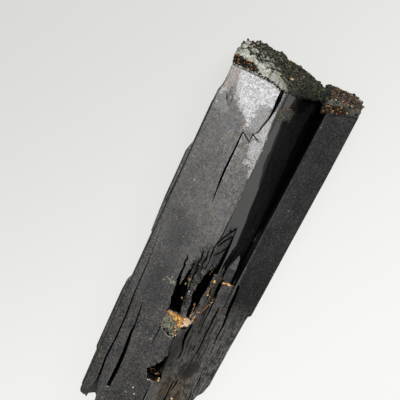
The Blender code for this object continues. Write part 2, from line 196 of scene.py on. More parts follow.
studio = dict(
    # lights: size, place, watts
    softbox=(180 * mm, Vector((30.0, 270.0, 290.0)) * mm, 1.9),
    card=(160 * mm, Vector((-45.0, 5.0, 345.0)) * mm, 0.182),  # its reflection lies on the front
    sideLight=(200 * mm, Vector((380.0, -260.0, 260.0)) * mm, 0.25),
    skyZenith=rgb(0.19, 0.19, 0.195),
    skyHorizon=rgb(0.93, 0.93, 0.94),  # on the right
    skyLeft=rgb(0.28, 0.28, 0.285),
    floorSide=3.0,
    floorColour=rgb(0.05, 0.05, 0.05),
    glowFar=rgb(0.605, 0.61, 0.59),  # the floor's own light, by the tip's left
    glowNear=rgb(0.85, 0.85, 0.825),  # and by the broken end's right
    glowSpan=(-100.0, 60.0),  # mm along the direction in which it grows
)


def areaLight(name, size, place, watts, aim):
    data = bpy.data.lights.new(name, "AREA")
    data.shape = "SQUARE"
    data.size = size
    data.energy = watts
    lamp = addObject(name, data)
    lamp.location = place
    lamp.rotation_mode = "QUATERNION"
    lamp.rotation_quaternion = (aim - place).to_track_quat("-Z", "Y")


def makeStudio():
    centre = Vector((0.0, 0.0, 10.0)) * mm
    areaLight("softbox", *studio["softbox"], centre)
    areaLight("card", *studio["card"], studio["card"][1] - Vector((0.0, 0.0, 1.0)))
    areaLight("sideLight", *studio["sideLight"], centre)
    world = bpy.data.worlds.new("studio")
    bpy.context.scene.world = world
    world.use_nodes = True
    tree = world.node_tree
    tree.nodes.clear()
    start = Signal(tree)
    direction = start.node("TexCoord", output=0)
    height = start.node("SeparateXYZ", None, {0: direction}, output=2)
    across = start.node("SeparateXYZ", None, {0: direction}, output=0)
    horizon = across.ramp(-0.5, 0.3).mixed(studio["skyLeft"], studio["skyHorizon"])
    sky = height.ramp(0.05, 0.75).mixed(horizon, studio["skyZenith"])
    light = start.node("Background", None, {"Color": sky, "Strength": 1.0})
    start.node("OutputWorld", None, {"Surface": light})


def makeFloor():
    half = studio["floorSide"] / 2
    mesh = bpy.data.meshes.new("floor")
    corners = [(-half, -half, 0), (half, -half, 0), (half, half, 0), (-half, half, 0)]
    mesh.from_pydata(corners, [], [(0, 1, 2, 3)])
    floor = addObject("floor", mesh)
    material, start, place, x, y, z = newMaterial("paleFloor")
    glow = (0.75 * x - 0.66 * y).ramp(*studio["glowSpan"]).mixed(studio["glowFar"], studio["glowNear"])
    inputs = {
        "Base Color": studio["floorColour"],
        "Roughness": 0.8,
        "Emission Color": glow,
        "Emission Strength": 1.0,
    }
    surface = start.node("BsdfPrincipled", None, inputs)
    start.node("OutputMaterial", None, {"Surface": surface})
    mesh.materials.append(material)


makeCamera()
makeStudio()
makeFloor()
bpy.context.scene.view_settings.view_transform = "Standard"
print("camera, studio and floor ready")


# Helpers for meshes

def copyOfNode(name):
    bm = bmesh.new()
    bm.from_mesh(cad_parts[name].data)
    bmesh.ops.remove_doubles(bm, verts=bm.verts, dist=0.002 * mm)
    bmesh.ops.dissolve_limit(bm, angle_limit=math.radians(0.2), verts=bm.verts, edges=bm.edges)
    return bm


def shapedBy(bm, addModifiers):  # the mesh after modifiers that addModifiers puts on a passing object
    mesh = bpy.data.meshes.new("draft")
    bm.to_mesh(mesh)
    bm.free()
    draft = addObject("draft", mesh)
    helpers = addModifiers(draft)
    bpy.context.view_layer.update()
    shaped = bpy.data.meshes.new_from_object(draft.evaluated_get(bpy.context.evaluated_depsgraph_get()))
    result = bmesh.new()
    result.from_mesh(shaped)
    for helper in [draft] + helpers:
        bpy.data.objects.remove(helper, do_unlink=True)
    return result


def remeshed(bm, size):
    def addModifiers(draft):
        modifier = draft.modifiers.new("voxels", "REMESH")
        modifier.mode = "VOXEL"
        modifier.voxel_size = size
        return []

    return shapedBy(bm, addModifiers)


def softened(name, voxel, rounds):  # a solid as an even mesh, its edges rounded off
    bm = remeshed(copyOfNode(name), voxel)
    everyAxis = dict(use_axis_x=True, use_axis_y=True, use_axis_z=True)
    for turn in range(rounds):
        bmesh.ops.smooth_vert(bm, verts=bm.verts, factor=0.5, **everyAxis)
    bmesh.ops.triangulate(bm, faces=bm.faces)
    bm.normal_update()
    return bm


def bandOutline(path, widths):  # the outline of a narrow band along a path
    left, right = [], []
    for index, point in enumerate(path):
        before = Vector(path[max(index - 1, 0)])
        after = Vector(path[min(index + 1, len(path) - 1)])
        along = (after - before).normalized()
        side = Vector((-along.y, along.x)) * widths[index] / 2
        left.append(Vector(point) + side)
        right.append(Vector(point) - side)
    return left + right[::-1]


def addColumn(bm, outline, low, high):  # a closed upright prism over an outline in mm
    bottom = [bm.verts.new((x * mm, y * mm, low * mm)) for x, y in outline]
    top = [bm.verts.new((x * mm, y * mm, high * mm)) for x, y in outline]
    bm.faces.new(bottom[::-1])
    bm.faces.new(top)
    for index in range(len(outline)):
        after = (index + 1) % len(outline)
        bm.faces.new((bottom[index], bottom[after], top[after], top[index]))


def cutBy(bm, columns, top):  # columns: (outline, floor) pairs, cut from floor up to top
    def addModifiers(draft):
        cutters = []
        for outline, floor in columns:
            shape = bmesh.new()
            addColumn(shape, outline, floor, top)
            bmesh.ops.recalc_face_normals(shape, faces=shape.faces)
            mesh = bpy.data.meshes.new("cutter")
            shape.to_mesh(mesh)
            shape.free()
            cutter = addObject("cutter", mesh)
            modifier = draft.modifiers.new("cut", "BOOLEAN")
            modifier.operation = "DIFFERENCE"
            modifier.solver = "EXACT"
            modifier.object = cutter
            cutters.append(cutter)
        return cutters

    return shapedBy(bm, addModifiers)


def slicedIntoGrid(bm, axis, step, low, high):
    normal = Vector((0.0, 0.0, 0.0))
    normal[axis] = 1.0
    count = int((high - low) / step)
    for index in range(1, count + 1):
        point = normal * (low + index * step)
        geometry = bm.verts[:] + bm.edges[:] + bm.faces[:]
        bmesh.ops.bisect_plane(bm, geom=geometry, dist=0.0005 * mm, plane_co=point, plane_no=normal)


def isSharp(edge, angle):
    return len(edge.link_faces) == 2 and edge.calc_face_angle(0.0) > angle


def splitLongEdges(bm, allowed, rounds):
    for turn in range(rounds):
        long = [edge for edge in bm.edges if edge.calc_length() > allowed(edge)]
        if not long:
            break
        bmesh.ops.subdivide_edges(bm, edges=long, cuts=1)
        bmesh.ops.triangulate(bm, faces=[face for face in bm.faces if len(face.verts) > 3])


def pointTree(points):
    tree = KDTree(len(points))
    for index, point in enumerate(points):
        tree.insert(point, index)
    tree.balance()
    return tree


def between(stops, value):  # straight lines through (value, result) stops
    if value <= stops[0][0]:
        return stops[0][1]
    for (low, lowResult), (high, highResult) in zip(stops, stops[1:]):
        if value <= high:
            return lowResult + (highResult - lowResult) * (value - low) / (high - low)
    return stops[-1][1]


def smooth(value, low, high):  # 0 at low, 1 at high
    part = min(1.0, max(0.0, (value - low) / (high - low)))
    return part * part * (3 - 2 * part)


def wave(point, across, along, shift=0.0):  # smooth noise about 0, stretched along the prisms; sizes in mm
    scaled = Vector((point.x / across, point.y / along, point.z / across)) / mm
    return noise.noise(scaled + Vector((shift, shift * 0.7, shift * 1.3)))


def hemisphere(count):  # directions about +Z, evenly spread
    golden = math.pi * (3 - math.sqrt(5))
    directions = []
    for index in range(count):
        height = 0.15 + 0.85 * (index + 0.5) / count
        across = math.sqrt(1 - height * height)
        angle = golden * index
        directions.append(Vector((across * math.cos(angle), across * math.sin(angle), height)))
    return directions


def keepHollowness(bm, count, reach):  # as an attribute, how much of what a vertex faces is closed off
    bm.normal_update()
    tree = BVHTree.FromBMesh(bm)
    layer = bm.verts.layers.float.new("hollow")
    directions = hemisphere(count)
    for vert in bm.verts:
        turn = vert.normal.to_track_quat("Z", "X")
        origin = vert.co + vert.normal * 0.04 * mm
        hits = [tree.ray_cast(origin, turn @ direction, reach)[0] for direction in directions]
        vert[layer] = sum(hit is not None for hit in hits) / count


def asPiece(bm, name, nodes, material, smoothAngle=None):
    mesh = bpy.data.meshes.new(name)
    bm.to_mesh(mesh)
    bm.free()
    piece = addObject(name, mesh)
    mesh.materials.append(material)
    if smoothAngle:
        mesh.shade_smooth()
        mesh.set_sharp_from_angle(angle=math.radians(smoothAngle))
    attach(piece, "root")
    if nodes:
        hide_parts(*nodes)
    return piece


# Small grains, each a skewed block with its own colour

def grainPalette(*choices):  # (weight, (red, green, blue)) pairs
    return [weight for weight, tint in choices], [tint for weight, tint in choices]


def pickTint(rng, palette, spread=0.25):
    weights, tints = palette
    tint = rng.choices(tints, weights)[0]
    brightness = 1.0 + rng.uniform(-spread, spread)
    return tuple(value * brightness for value in tint)


def addGrain(bm, layer, centre, size, tint, rng):
    axis = Vector([rng.uniform(-1, 1) for side in range(3)]).normalized()
    turn = Matrix.Rotation(rng.uniform(0, math.pi), 3, axis)
    reach = Vector([size * rng.uniform(*share) for share in ((0.7, 1.0), (0.6, 0.9), (0.5, 0.9))]) / 2
    taper = rng.uniform(0.55, 1.0)
    corners = []
    for dz in (-1, 1):
        for dx, dy in ((-1, -1), (1, -1), (1, 1), (-1, 1)):
            narrow = taper if dz > 0 else 1.0
            corner = Vector((dx * reach.x * narrow, dy * reach.y * narrow, dz * reach.z))
            vert = bm.verts.new(centre + turn @ corner)
            vert[layer] = (*tint, 1.0)
            corners.append(vert)
    for face in ((3, 2, 1, 0), (4, 5, 6, 7), (0, 1, 5, 4), (1, 2, 6, 5), (2, 3, 7, 6), (3, 0, 4, 7)):
        bm.faces.new([corners[index] for index in face])


def dropped(tree, x, y, start=30.0):  # where something let fall at (x, y) in mm lands
    return tree.ray_cast(Vector((x, y, start)) * mm, Vector((0, 0, -1)))[0]


def addTrail(bm, layer, tree, path, step, size, scatter, palette, rng, lift=0.25):  # a row of grains
    for (x1, y1), (x2, y2) in zip(path, path[1:]):
        count = max(1, round(math.hypot(x2 - x1, y2 - y1) / step))
        for index in range(count):
            part = (index + rng.random()) / count
            x = x1 + (x2 - x1) * part + rng.gauss(0, scatter)
            y = y1 + (y2 - y1) * part + rng.gauss(0, scatter)
            landed = dropped(tree, x, y)
            if landed:
                grain = size * rng.uniform(0.7, 1.25) * mm
                centre = landed + Vector((0, 0, grain * lift))
                addGrain(bm, layer, centre, grain, pickTint(rng, palette), rng)


# The black crystal

crystal = dict(
    gridStep=1.1 * mm,
    fineEdge=0.36 * mm,
    fineReach=0.7 * mm,
    fineAbove=8.0 * mm,  # below this height the mesh stays coarse
    besideReach=1.25 * mm,  # how near another edge has to run for an edge not to be worn
    cutTop=24.0,
    sharpDegrees=14.0,
    undulation=0.03 * mm,
    striation=0.075 * mm,  # on the prism faces beside the front
    edgeWear=0.035 * mm,
    chipDepth=0.16 * mm,
    wornAbove=20 * mm,  # edges between these two heights are hardly worn
    wornBelow=8 * mm,
    wornBetween=0.15,
    ridgeChips=0.28 * mm,
    breakRoughness=0.7 * mm,
    breakStarts=-49.0 * mm,
    hollowRays=14,
    hollowReach=16 * mm,
    frontZ=22.0,
    frontEdgeZ=21.5,
    grooveFloor=9.0,
    smoothFromY=-6.0,
    ridgeX=-0.5,
    grooveX=8.3,  # where the strip beside the ridge ends in the groove
    wallX=8.0,
    wallTop=17.3,
    wallHeight=4.8,
    leftX=-15.8,  # where the left side with its blades begins
    bladeTop=20.8,
    stepStray=5.0,  # how far the steps on the left side stray along it, mm
    # where the left side may at least be under the front, at the blades' upper ends: (y, x)
    bladeLimits=[
        [(-17.0, -18.8), (-13.5, -17.5), (-9.5, -17.3), (-9.0, -18.8)],
        [(20.0, -18.8), (25.0, -17.8), (30.0, -17.6), (30.5, -18.8)],
    ],
    # how steep the strip is along the crystal, against the solid's: (y, factor)
    stripTwist=[(-8, 1.0), (-1, 0.93), (8, 0.9), (14, 0.93), (27, 1.03), (44, 1.18), (52, 1.12)],
    tongueTop=(-6.2, -4.2, -7.2, -0.8),
    tongueAbove=21.8,
    tongueHollow=0.2,
    ridgeShift=[(35, 0.0), (43, -0.75), (60, -0.8)],  # how far the ridge steps aside near the tip: (y, mm)
    bump=dict(strength=0.45, distance=0.07 * mm),
    ior=1.77,
)

# Fine cracks cut into the front: path, widths and the height of the floor, mm
fineCracks = dict(
    zigzagDown=([(-7.1, 37.6), (-5.7, 36.6), (-4.35, 35.6)], [0.22, 0.3, 0.2], 20.9),
    zigzagUp=([(-4.5, 35.4), (-4.45, 37), (-4.5, 38.3)], [0.2, 0.3, 0.25], 20.9),
    zigzagEnd=([(-4.6, 38.1), (-3.3, 37.4), (-2.1, 36.6)], [0.3, 0.3, 0.12], 20.9),
    scratchDown=([(-14.9, 44.6), (-14.3, 43.4), (-13, 41.8)], [0.1, 0.16, 0.12], 21.8),
    scratchUp=([(-13.05, 41.9), (-13.15, 43.6), (-13.2, 45.6)], [0.12, 0.16, 0.12], 21.8),
    scratchEnd=([(-13.2, 45.5), (-12.3, 45.1), (-11.3, 44.5)], [0.12, 0.18, 0.1], 21.8),
    ridgeLine=(
        [
            (-0.3, 16.3), (-0.4, 13.2), (-0.4, 10.4), (-0.65, 8.4), (-1, 6.4), (-0.8, 4.4), (-0.6, 1.5),
            (-0.6, -0.6),
        ],
        [0.1, 0.25, 0.3, 0.32, 0.35, 0.3, 0.3, 0.3],
        20.6,
    ),
    upperStep=([(2.4, 12.7), (0.9, 10.6), (0, 9.2), (-0.7, 7.2)], [0.3, 0.34, 0.34, 0.25], 17.6),
    middleStep=([(2.4, 10.3), (0.8, 8.6), (0, 7.2), (-1, 6.2)], [0.3, 0.34, 0.34, 0.2], 17.6),
    lowerStep=([(2.5, 7.2), (1.6, 5.8), (0.6, 4.7), (-0.2, 4)], [0.34, 0.32, 0.3, 0.12], 17.6),
    stripEdge=([(3.9, 6.4), (4, 4.6), (3.95, 2.1), (4.4, 0.2)], [0.12, 0.25, 0.3, 0.2], 14.6),
    leftProng=([(-6.4, 1.4), (-6.1, -1.4), (-5.9, -4.4), (-5.9, -7)], [0.12, 0.5, 0.8, 1], 14.2),
    rightProng=([(-4, 0.4), (-3.9, -2), (-4.2, -4.6), (-4.8, -6.4)], [0.15, 0.6, 0.9, 0.9], 14.4),
    blackGap=([(5.05, -2.5), (4.8, -4), (4.75, -6.2), (4.9, -7.9)], [0.3, 0.85, 0.9, 0.4], 12),
    gapAbove=([(3, -3.4), (2.9, -5.2), (3.3, -7.2), (3.25, -9)], [0.15, 0.3, 0.5, 0.15], 16.5),
    ribGroove=([(-2.9, 0.6), (-2.6, -3.5), (-2.4, -8), (-1.6, -12.5)], [0.15, 0.4, 0.35, 0.15], 18.6),
    ribSplit=([(-3.4, -3.2), (-3.3, -6.4), (-2.9, -9.8), (-2.4, -13)], [0.12, 0.3, 0.35, 0.15], 17),
    bumpyCrack=([(-3.2, 4.4), (-2.8, 2.4), (-3, 0.2)], [0.1, 0.3, 0.3], 21),
    bumpyEdge=([(-2, 5.4), (-1.7, 3.2), (-1.9, 1), (-1.5, -0.8)], [0.1, 0.25, 0.35, 0.3], 21),
    bladeLine=([(-17.65, 25.4), (-17.3, 20), (-17.45, 15.3), (-17.6, 11.6)], [0.1, 0.17, 0.17, 0.1], 21.2),
    frontCrack=(
        [(-7.08, 37.4), (-7.05, 31.8), (-7.1, 26.7), (-7, 23.4), (-6.75, 20.2), (-6.55, 17.6)],
        [0.3, 0.42, 0.6, 0.5, 0.32, 0.12],
        18,
    ),
    besideLedge=(
        [(9.3, -1.7), (9.65, -4.4), (9.7, -6.6), (9.75, -9), (9.85, -11.4)],
        [0.4, 0.75, 0.85, 0.75, 0.3],
        11,
    ),
    tongueLine=([(4.85, 7.6), (4.6, 4.6), (4.5, 1.6), (4.4, -1.6)], [0.12, 0.3, 0.4, 0.4], 13.5),
    sliverLine=([(3.7, 5), (3.5, 2.2), (3.6, -0.6)], [0.1, 0.2, 0.1], 16.5),
    ledgeTop=([(7.3, -9.7), (8.3, -8.9), (9.4, -8.4)], [0.12, 0.24, 0.3], 16.9),
    ridgeNotch=([(-0.2, -20.4), (-0.4, -23.1), (0, -26)], [0.12, 0.28, 0.15], 20.4),
    vugTail=([(0.5, -25.6), (0.2, -27.4), (0.2, -29)], [0.15, 0.5, 0.6], 18.6),
    lowSecond=([(5.6, -33.4), (5.45, -35.4), (5.2, -37.4)], [0.12, 0.35, 0.15], 15.2),
    lowEdge=([(-0.9, -37.6), (-0.7, -41), (-0.8, -46)], [0.15, 0.4, 0.3], 20),
    slimStreak=([(10.6, -29), (10.8, -32.2)], [0.15, 0.25], 15.6),
    slimLowStreak=([(10.4, -35.2), (10.6, -38)], [0.35, 0.2], 15.2),
    blockHairline=([(5.8, -22.6), (5.6, -24.8)], [0.2, 0.1], 15.6),
)

# Thin blades that stand in the hollows: path, widths, foot and top, mm
thinBlades = dict(
    slotRib=([(0.75, -10.6), (1.1, -13), (1.1, -15.3)], [0.25, 0.45, 0.5], 11.3, 17.9),
    slotFibre=([(0.6, -2.6), (0.5, -6.2), (0.3, -9.6)], [0.1, 0.3, 0.1], 11.3, 16),
    leftFibre=([(-5.2, -8.2), (-4.7, -11.8), (-4.3, -15.2)], [0.1, 0.28, 0.2], 13.8, 18),
    leftSecondFibre=([(-4.5, -7.4), (-3.9, -10.6), (-3.3, -14.2)], [0.1, 0.3, 0.1], 13.8, 17.2),
    stripSliver=([(2.55, 6.4), (2.6, 3.4), (2.7, -0.4)], [0.1, 0.28, 0.15], 14.8, 18.5),
    leftThirdFibre=([(-5.7, -8.6), (-5.2, -12), (-4.9, -15)], [0.1, 0.22, 0.1], 13.8, 16.6),
    pocketTongue=([(-5.15, -1.2), (-5.15, -4), (-5, -6.9)], [1.3, 1.1, 0.15], 14.2, 21.95),
    ribShelf=([(-4.3, -5.3), (-3.6, -8.5), (-2.75, -11.5), (-1.9, -14.4)], [0.4, 1, 1.1, 0.6], 13.8, 18.7),
    ribShelfLow=([(-4.9, -6.6), (-4.2, -9.6), (-3.5, -12.6)], [0.2, 0.5, 0.3], 13.8, 17.4),
    vugBlade=([(-0.7, -29.4), (-0.9, -32), (-0.5, -34.7)], [0.15, 0.4, 0.3], 17.4, 19.7),
)

# Rougher places on the front: (x, x, y, y) and (z, z) in mm, the depth and the sizes of the lumps
roughPlaces = dict(
    rib=((-5.2, 0.6, -16.2, 1), (19.6, 20.8), 0.3, (0.9, 1.4)),
    bumpy=((-4.2, -0.3, -1.5, 6.5), (21.5, 22.3), 0.2, (0.8, 1.2)),
    lowStrip=((-0.2, 9.4, -60, -19), (12, 22.1), 0.16, (0.75, 7)),
    slimFoot=((9, 15, -60, -22), (15, 17.6), 0.07, (0.8, 5)),
    frontFoot=((-14, 0, -60, -36), (21.5, 22.3), 0.05, (1.2, 2)),
)

# Hollows with uneven rims: (x, x, y, y) in mm and how far the rims stray
unevenRims = dict(
    vug=((-4.6, 2.4, -36.4, -26), 0.55),
    pocket=((-7.2, 2.9, -16.6, 1.8), 0.4),
)


def nearZone(x, y, zone):  # mm inside a box of (xLow, xHigh, yLow, yHigh)
    xLow, xHigh, yLow, yHigh = zone
    return min(x - xLow, xHigh - x, y - yLow, yHigh - y)


def roughness(point, normal):  # extra height of the front's rougher places
    total = 0.0
    x, y, z = point / mm
    for zone, (zLow, zHigh), depth, (across, along) in roughPlaces.values():
        if zLow < z < zHigh and normal.z > 0.5:
            share = smooth(nearZone(x, y, zone), 0.0, 0.8)
            if share > 0:
                lumps = wave(point, across, along, 63.0) + 0.5 * wave(point, across / 2, along / 2, 27.0)
                total += share * depth * (lumps - 0.25) * mm
    return total


def twistStrip(point):  # bend the strip beside the ridge and move the ridge
    x, y, z = point / mm
    shift = between(crystal["ridgeShift"], y)
    ridge, groove = crystal["ridgeX"], crystal["grooveX"]
    if ridge <= x <= groove:
        x += shift * (groove - x) / (groove - ridge)
    elif ridge - 1.0 < x < ridge and z > 21.0:
        x += shift * (x - ridge + 1.0)
    if ridge <= point.x / mm < crystal["wallX"] + 1.7 and z > crystal["grooveFloor"]:
        turned = crystal["frontZ"] - (crystal["frontZ"] - z) * between(crystal["stripTwist"], y)
        share = 1.0
        if point.x / mm > crystal["wallX"]:
            share = min(1.0, max(0.0, (crystal["wallTop"] - z) / crystal["wallHeight"]))
        z += (turned - z) * share
    return Vector((x, y, z)) * mm


def tuckedBlade(point):  # below their front the blades' upper ends lie back, and their steps stray
    x, y, z = point / mm
    depth = crystal["bladeTop"] - z
    if x < crystal["leftX"] and depth > 0:
        under = smooth(depth, 0.0, 0.8)
        for limit in crystal["bladeLimits"]:
            if limit[0][0] < y < limit[-1][0]:
                x += under * max(0.0, between(limit, y) - x)
        stray = wave(Vector((0.0, y * 0.3, z)) * mm, 3.0, 3.0, 14.0)
        stray += 0.5 * wave(Vector((0.0, 0.0, z)) * mm, 1.0, 1.0, 19.0)
        inner = smooth(depth, 0.0, 3.0) * smooth(z, 3.0, 6.0) * smooth(50.0 - abs(y), 0.0, 5.0)
        y += crystal["stepStray"] * stray * inner
    return Vector((x, y, z)) * mm


def isSmooth(point):  # the strip beside the ridge and the groove's wall are smoother than the other faces
    x, y, z = point / mm
    inside = crystal["ridgeX"] - 0.2 < x < crystal["wallX"] + 1.9
    return inside and z > crystal["grooveFloor"] and y > crystal["smoothFromY"]


def buildCrystal():
    columns = [(bandOutline(path, widths), floor) for path, widths, floor in fineCracks.values()]
    bm = cutBy(copyOfNode("crystal"), columns, crystal["cutTop"])
    low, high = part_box("crystal")
    for axis in (1, 0, 2):
        slicedIntoGrid(bm, axis, crystal["gridStep"], low[axis], high[axis])
    bmesh.ops.triangulate(bm, faces=bm.faces)
    bm.normal_update()
    sharpAngle = math.radians(crystal["sharpDegrees"])
    marks, ways = [], []
    for edge in bm.edges:
        if isSharp(edge, sharpAngle):
            first, second = edge.verts[0].co, edge.verts[1].co
            steps = max(1, int(edge.calc_length() / crystal["fineEdge"]))
            marks.extend(first.lerp(second, (index + 0.5) / steps) for index in range(steps))
            ways.extend([(second - first).normalized()] * steps)
    tree = pointTree(marks)

    def allowed(edge):
        middle = (edge.verts[0].co + edge.verts[1].co) / 2
        if middle.z > crystal["fineAbove"] and tree.find(middle)[2] < crystal["fineReach"]:
            return crystal["fineEdge"] * 1.3
        return crystal["gridStep"] * 1.45

    def standsAlone(point, way):  # no other edge runs beside this one, as on a crack's two rims
        for co, index, distance in tree.find_range(point, crystal["besideReach"]):
            offset = co - point
            if abs(ways[index].dot(way)) > 0.85 and (offset - way * offset.dot(way)).length > 0.09 * mm:
                return False
        return True

    splitLongEdges(bm, allowed, 4)
    bm.normal_update()
    worn = bm.verts.layers.float.new("worn")
    moves = []
    for vert in bm.verts:
        point, normal = vert.co, vert.normal
        move = crystal["undulation"] * (wave(point, 3.0, 16.0) + 0.4 * wave(point, 1.2, 6.0, 9.0))
        if abs(normal.z) < 0.9 and abs(normal.y) < 0.5 and not isSmooth(point):
            lines = wave(point, 0.9, 30.0, 17.0) + 0.5 * wave(point, 0.45, 20.0, 3.0)
            move += crystal["striation"] * lines
        rims = [edge for edge in vert.link_edges if edge.is_convex and isSharp(edge, sharpAngle)]
        if rims:
            way = (rims[0].verts[0].co - rims[0].verts[1].co).normalized()
            if standsAlone(point, way):
                chip = max(0.0, wave(point, 2.0, 2.6, 31.0) - 0.15) / 0.6
                deep = 1.0
                if crystal["wornBelow"] <= point.z <= crystal["wornAbove"]:
                    deep = crystal["wornBetween"]
                vert[worn] = (0.5 + wave(point, 1.0, 3.0, 8.0) + chip) * deep
                move -= crystal["edgeWear"] * (0.5 + wave(point, 1.0, 1.2, 4.0))
                move -= crystal["chipDepth"] * chip * deep
                if abs(point.x - crystal["ridgeX"] * mm) < 0.3 * mm and point.z > crystal["frontEdgeZ"] * mm:
                    move -= crystal["ridgeChips"] * max(0.0, wave(point, 1.6, 1.8, 55.0) + 0.1)
        if point.y < crystal["breakStarts"] and normal.y < -0.55:
            rough = wave(point, 3.5, 3.5, 2.0) + 0.4 * wave(point, 1.2, 1.2, 6.0) - 0.25
            move += crystal["breakRoughness"] * rough
        move += roughness(point, normal)
        if point.z < 3.0 * mm and normal.z < -0.9:
            move = 0.0
        moves.append((vert, normal * move))
    for vert, move in moves:
        x, y, z = vert.co / mm
        for zone, reach in unevenRims.values():
            share = smooth(nearZone(x, y, zone), 0.0, 0.8) * smooth(z, 16.0, 18.5)
            if share > 0:
                across = wave(vert.co, 0.9, 1.6, 71.0) + 0.5 * wave(vert.co, 0.4, 0.7, 73.0)
                along = wave(vert.co, 0.9, 1.2, 77.0) + 0.5 * wave(vert.co, 0.4, 0.5, 79.0)
                move = move + Vector((across, along, 0.0)) * share * reach * mm
        vert.co = tuckedBlade(twistStrip(vert.co + move))
        vert.co.z = max(vert.co.z, 0.0)
    for path, widths, foot, top in thinBlades.values():
        addColumn(bm, bandOutline(path, widths), foot, top)
    bmesh.ops.triangulate(bm, faces=[face for face in bm.faces if len(face.verts) > 3])
    keepHollowness(bm, crystal["hollowRays"], crystal["hollowReach"])
    hollowness = bm.verts.layers.float["hollow"]
    for vert in bm.verts:  # the tongue's top lies open, though its rim faces the pocket
        x, y, z = vert.co / mm
        if nearZone(x, y, crystal["tongueTop"]) > 0 and z > crystal["tongueAbove"]:
            vert[hollowness] = crystal["tongueHollow"]
    return bm


# Areas of the front with their own finish: convex outlines in mm, counter-clockwise
frostedAreas = [
    [(-14.6, 54), (-13.6, 47.8), (-12.5, 45.4), (-10.2, 42.9), (-7.6, 41), (-5.9, 44.4), (-5, 54)],
    [(-7.5, 54), (-7, 45.4), (-2.7, 46.6), (-1.9, 54)],
]
frostedSpike = [(-10.2, 43.7), (-6.9, 38.8), (-6.2, 39.6), (-6.6, 44.5), (-9, 45)]
greyFrost = [(-7, 46.4), (-7.2, 41), (-5.6, 38.4), (-3.7, 38.4), (-3, 41), (-2.6, 47.2)]
brightPatches = [
    [(-2.4, 42.9), (-3.6, 39.6), (-4, 37.8), (-0.4, 36.6), (-0.2, 40.5), (-1, 44.6), (-1.6, 46)],
    [(-17.3, 46.1), (-16.6, 44.6), (-15, 45.6), (-15.8, 46.4)],
    [(-4.4, 35), (-3.6, 32.6), (-0.4, 30.6), (-0.3, 37.2), (-3.4, 36.6)],
    [(-3.8, 30), (-1.4, 29.6), (-0.6, 30.4), (-0.8, 31.4), (-3.6, 31)],
    [(-1.1, 27), (-0.4, 27), (-0.3, 36), (-1.6, 34)],
]
greyPatch = [(-17.8, 42.6), (-16.8, 40.6), (-12.2, 40.2), (-15.2, 45.2), (-17.5, 45)]
brownStrip = [(-14.6, 54), (-17.6, 54), (-17.4, 46), (-15.6, 46.1), (-13.7, 47.6)]
ribTop = [(-3.9, 1.5), (-4.6, -4), (-3.4, -14.5), (-0.6, -15.5), (-0.5, -2), (-1.4, 0.8)]
bumpyPlace = [(-4, 5), (-4.2, -1), (-0.8, -2), (-0.8, 6.5), (-2.4, 6.8)]
greenRib = [(2.6, -1.6), (2.8, -11), (4, -10.6), (5, -1.4), (4.4, 1.2)]
brownPatch = [(5.6, -31.2), (6.4, -32.6), (8.4, -31), (9.3, -28.2), (8.8, -26.2), (7, -27.2)]
stainedFoot = [(1.6, -33), (0.6, -47), (9.4, -47), (10.2, -34), (9, -30.6), (6.4, -31)]
# painted shade under the crust at the strip's top, with greenish matter below the facet
dirtAndShadeUnderFacet = [(-0.9, 43.2), (2.6, 44.2), (3.6, 46.2), (3, 47.5), (-1.4, 46.6)]
shadeBesideFacet = [(2, 50.4), (1.9, 49), (3.8, 46.8), (5.8, 47.4), (5.4, 52.8), (3, 52.6)]
shadedStepPlace = [(-0.2, -1), (2.4, -1.4), (2.6, 13), (0.6, 13), (-0.4, 6)]
shadedTonguePlace = [(4.6, -3), (7.6, -2.6), (7.4, 6), (4.6, 6)]
greenStains = [
    [(-18.6, -31.4), (-18.4, -33.6), (-16.2, -35.6), (-15, -34.9), (-17.6, -31.4)],
    [(-9.3, -8.2), (-6.2, -9.1), (-5.4, -8.1), (-8.2, -7.3)],
]
darkSwirl = [(-15.6, 10.8), (-12.4, 8.4), (-9.6, 8.8), (-9.4, 10.4), (-12, 12.2)]
darkPatches = [
    [(-14, -3), (-13.6, -14.5), (-8.6, -14), (-7.6, -5), (-8.6, 2)],
    [(-13.8, 2), (-9, 1), (-7.8, 7), (-9, 12), (-14, 11)],
]
darkBand = [(-1, -24), (1.2, -33.4), (2.6, -27), (2.4, -21), (0.8, -18.4)]
arcPlace = [(6.4, -36.4), (8.8, -36.6), (9.6, -31), (8, -30.6), (6.6, -32.6)]
darkSpots = [
    [(10.6, -27.3), (11.4, -27.3), (11.5, -26.4), (10.7, -26.4)],
    [(12, -25.2), (12.7, -25.2), (12.7, -24.5), (12, -24.5)],
    [(12.9, -28.3), (13.8, -28.3), (13.8, -26.8), (12.9, -26.8)],
]
# a painted highlight and paler worn edge along the front crack's right rim
crackRimHighlight = [(-6.75, 24), (-6.5, 24), (-6.55, 36.8), (-6.85, 36.8)]
whitenedLine = [(-8.9, -6.5), (-7, -7.3), (-4.9, -7.2), (-7, -6.7)]


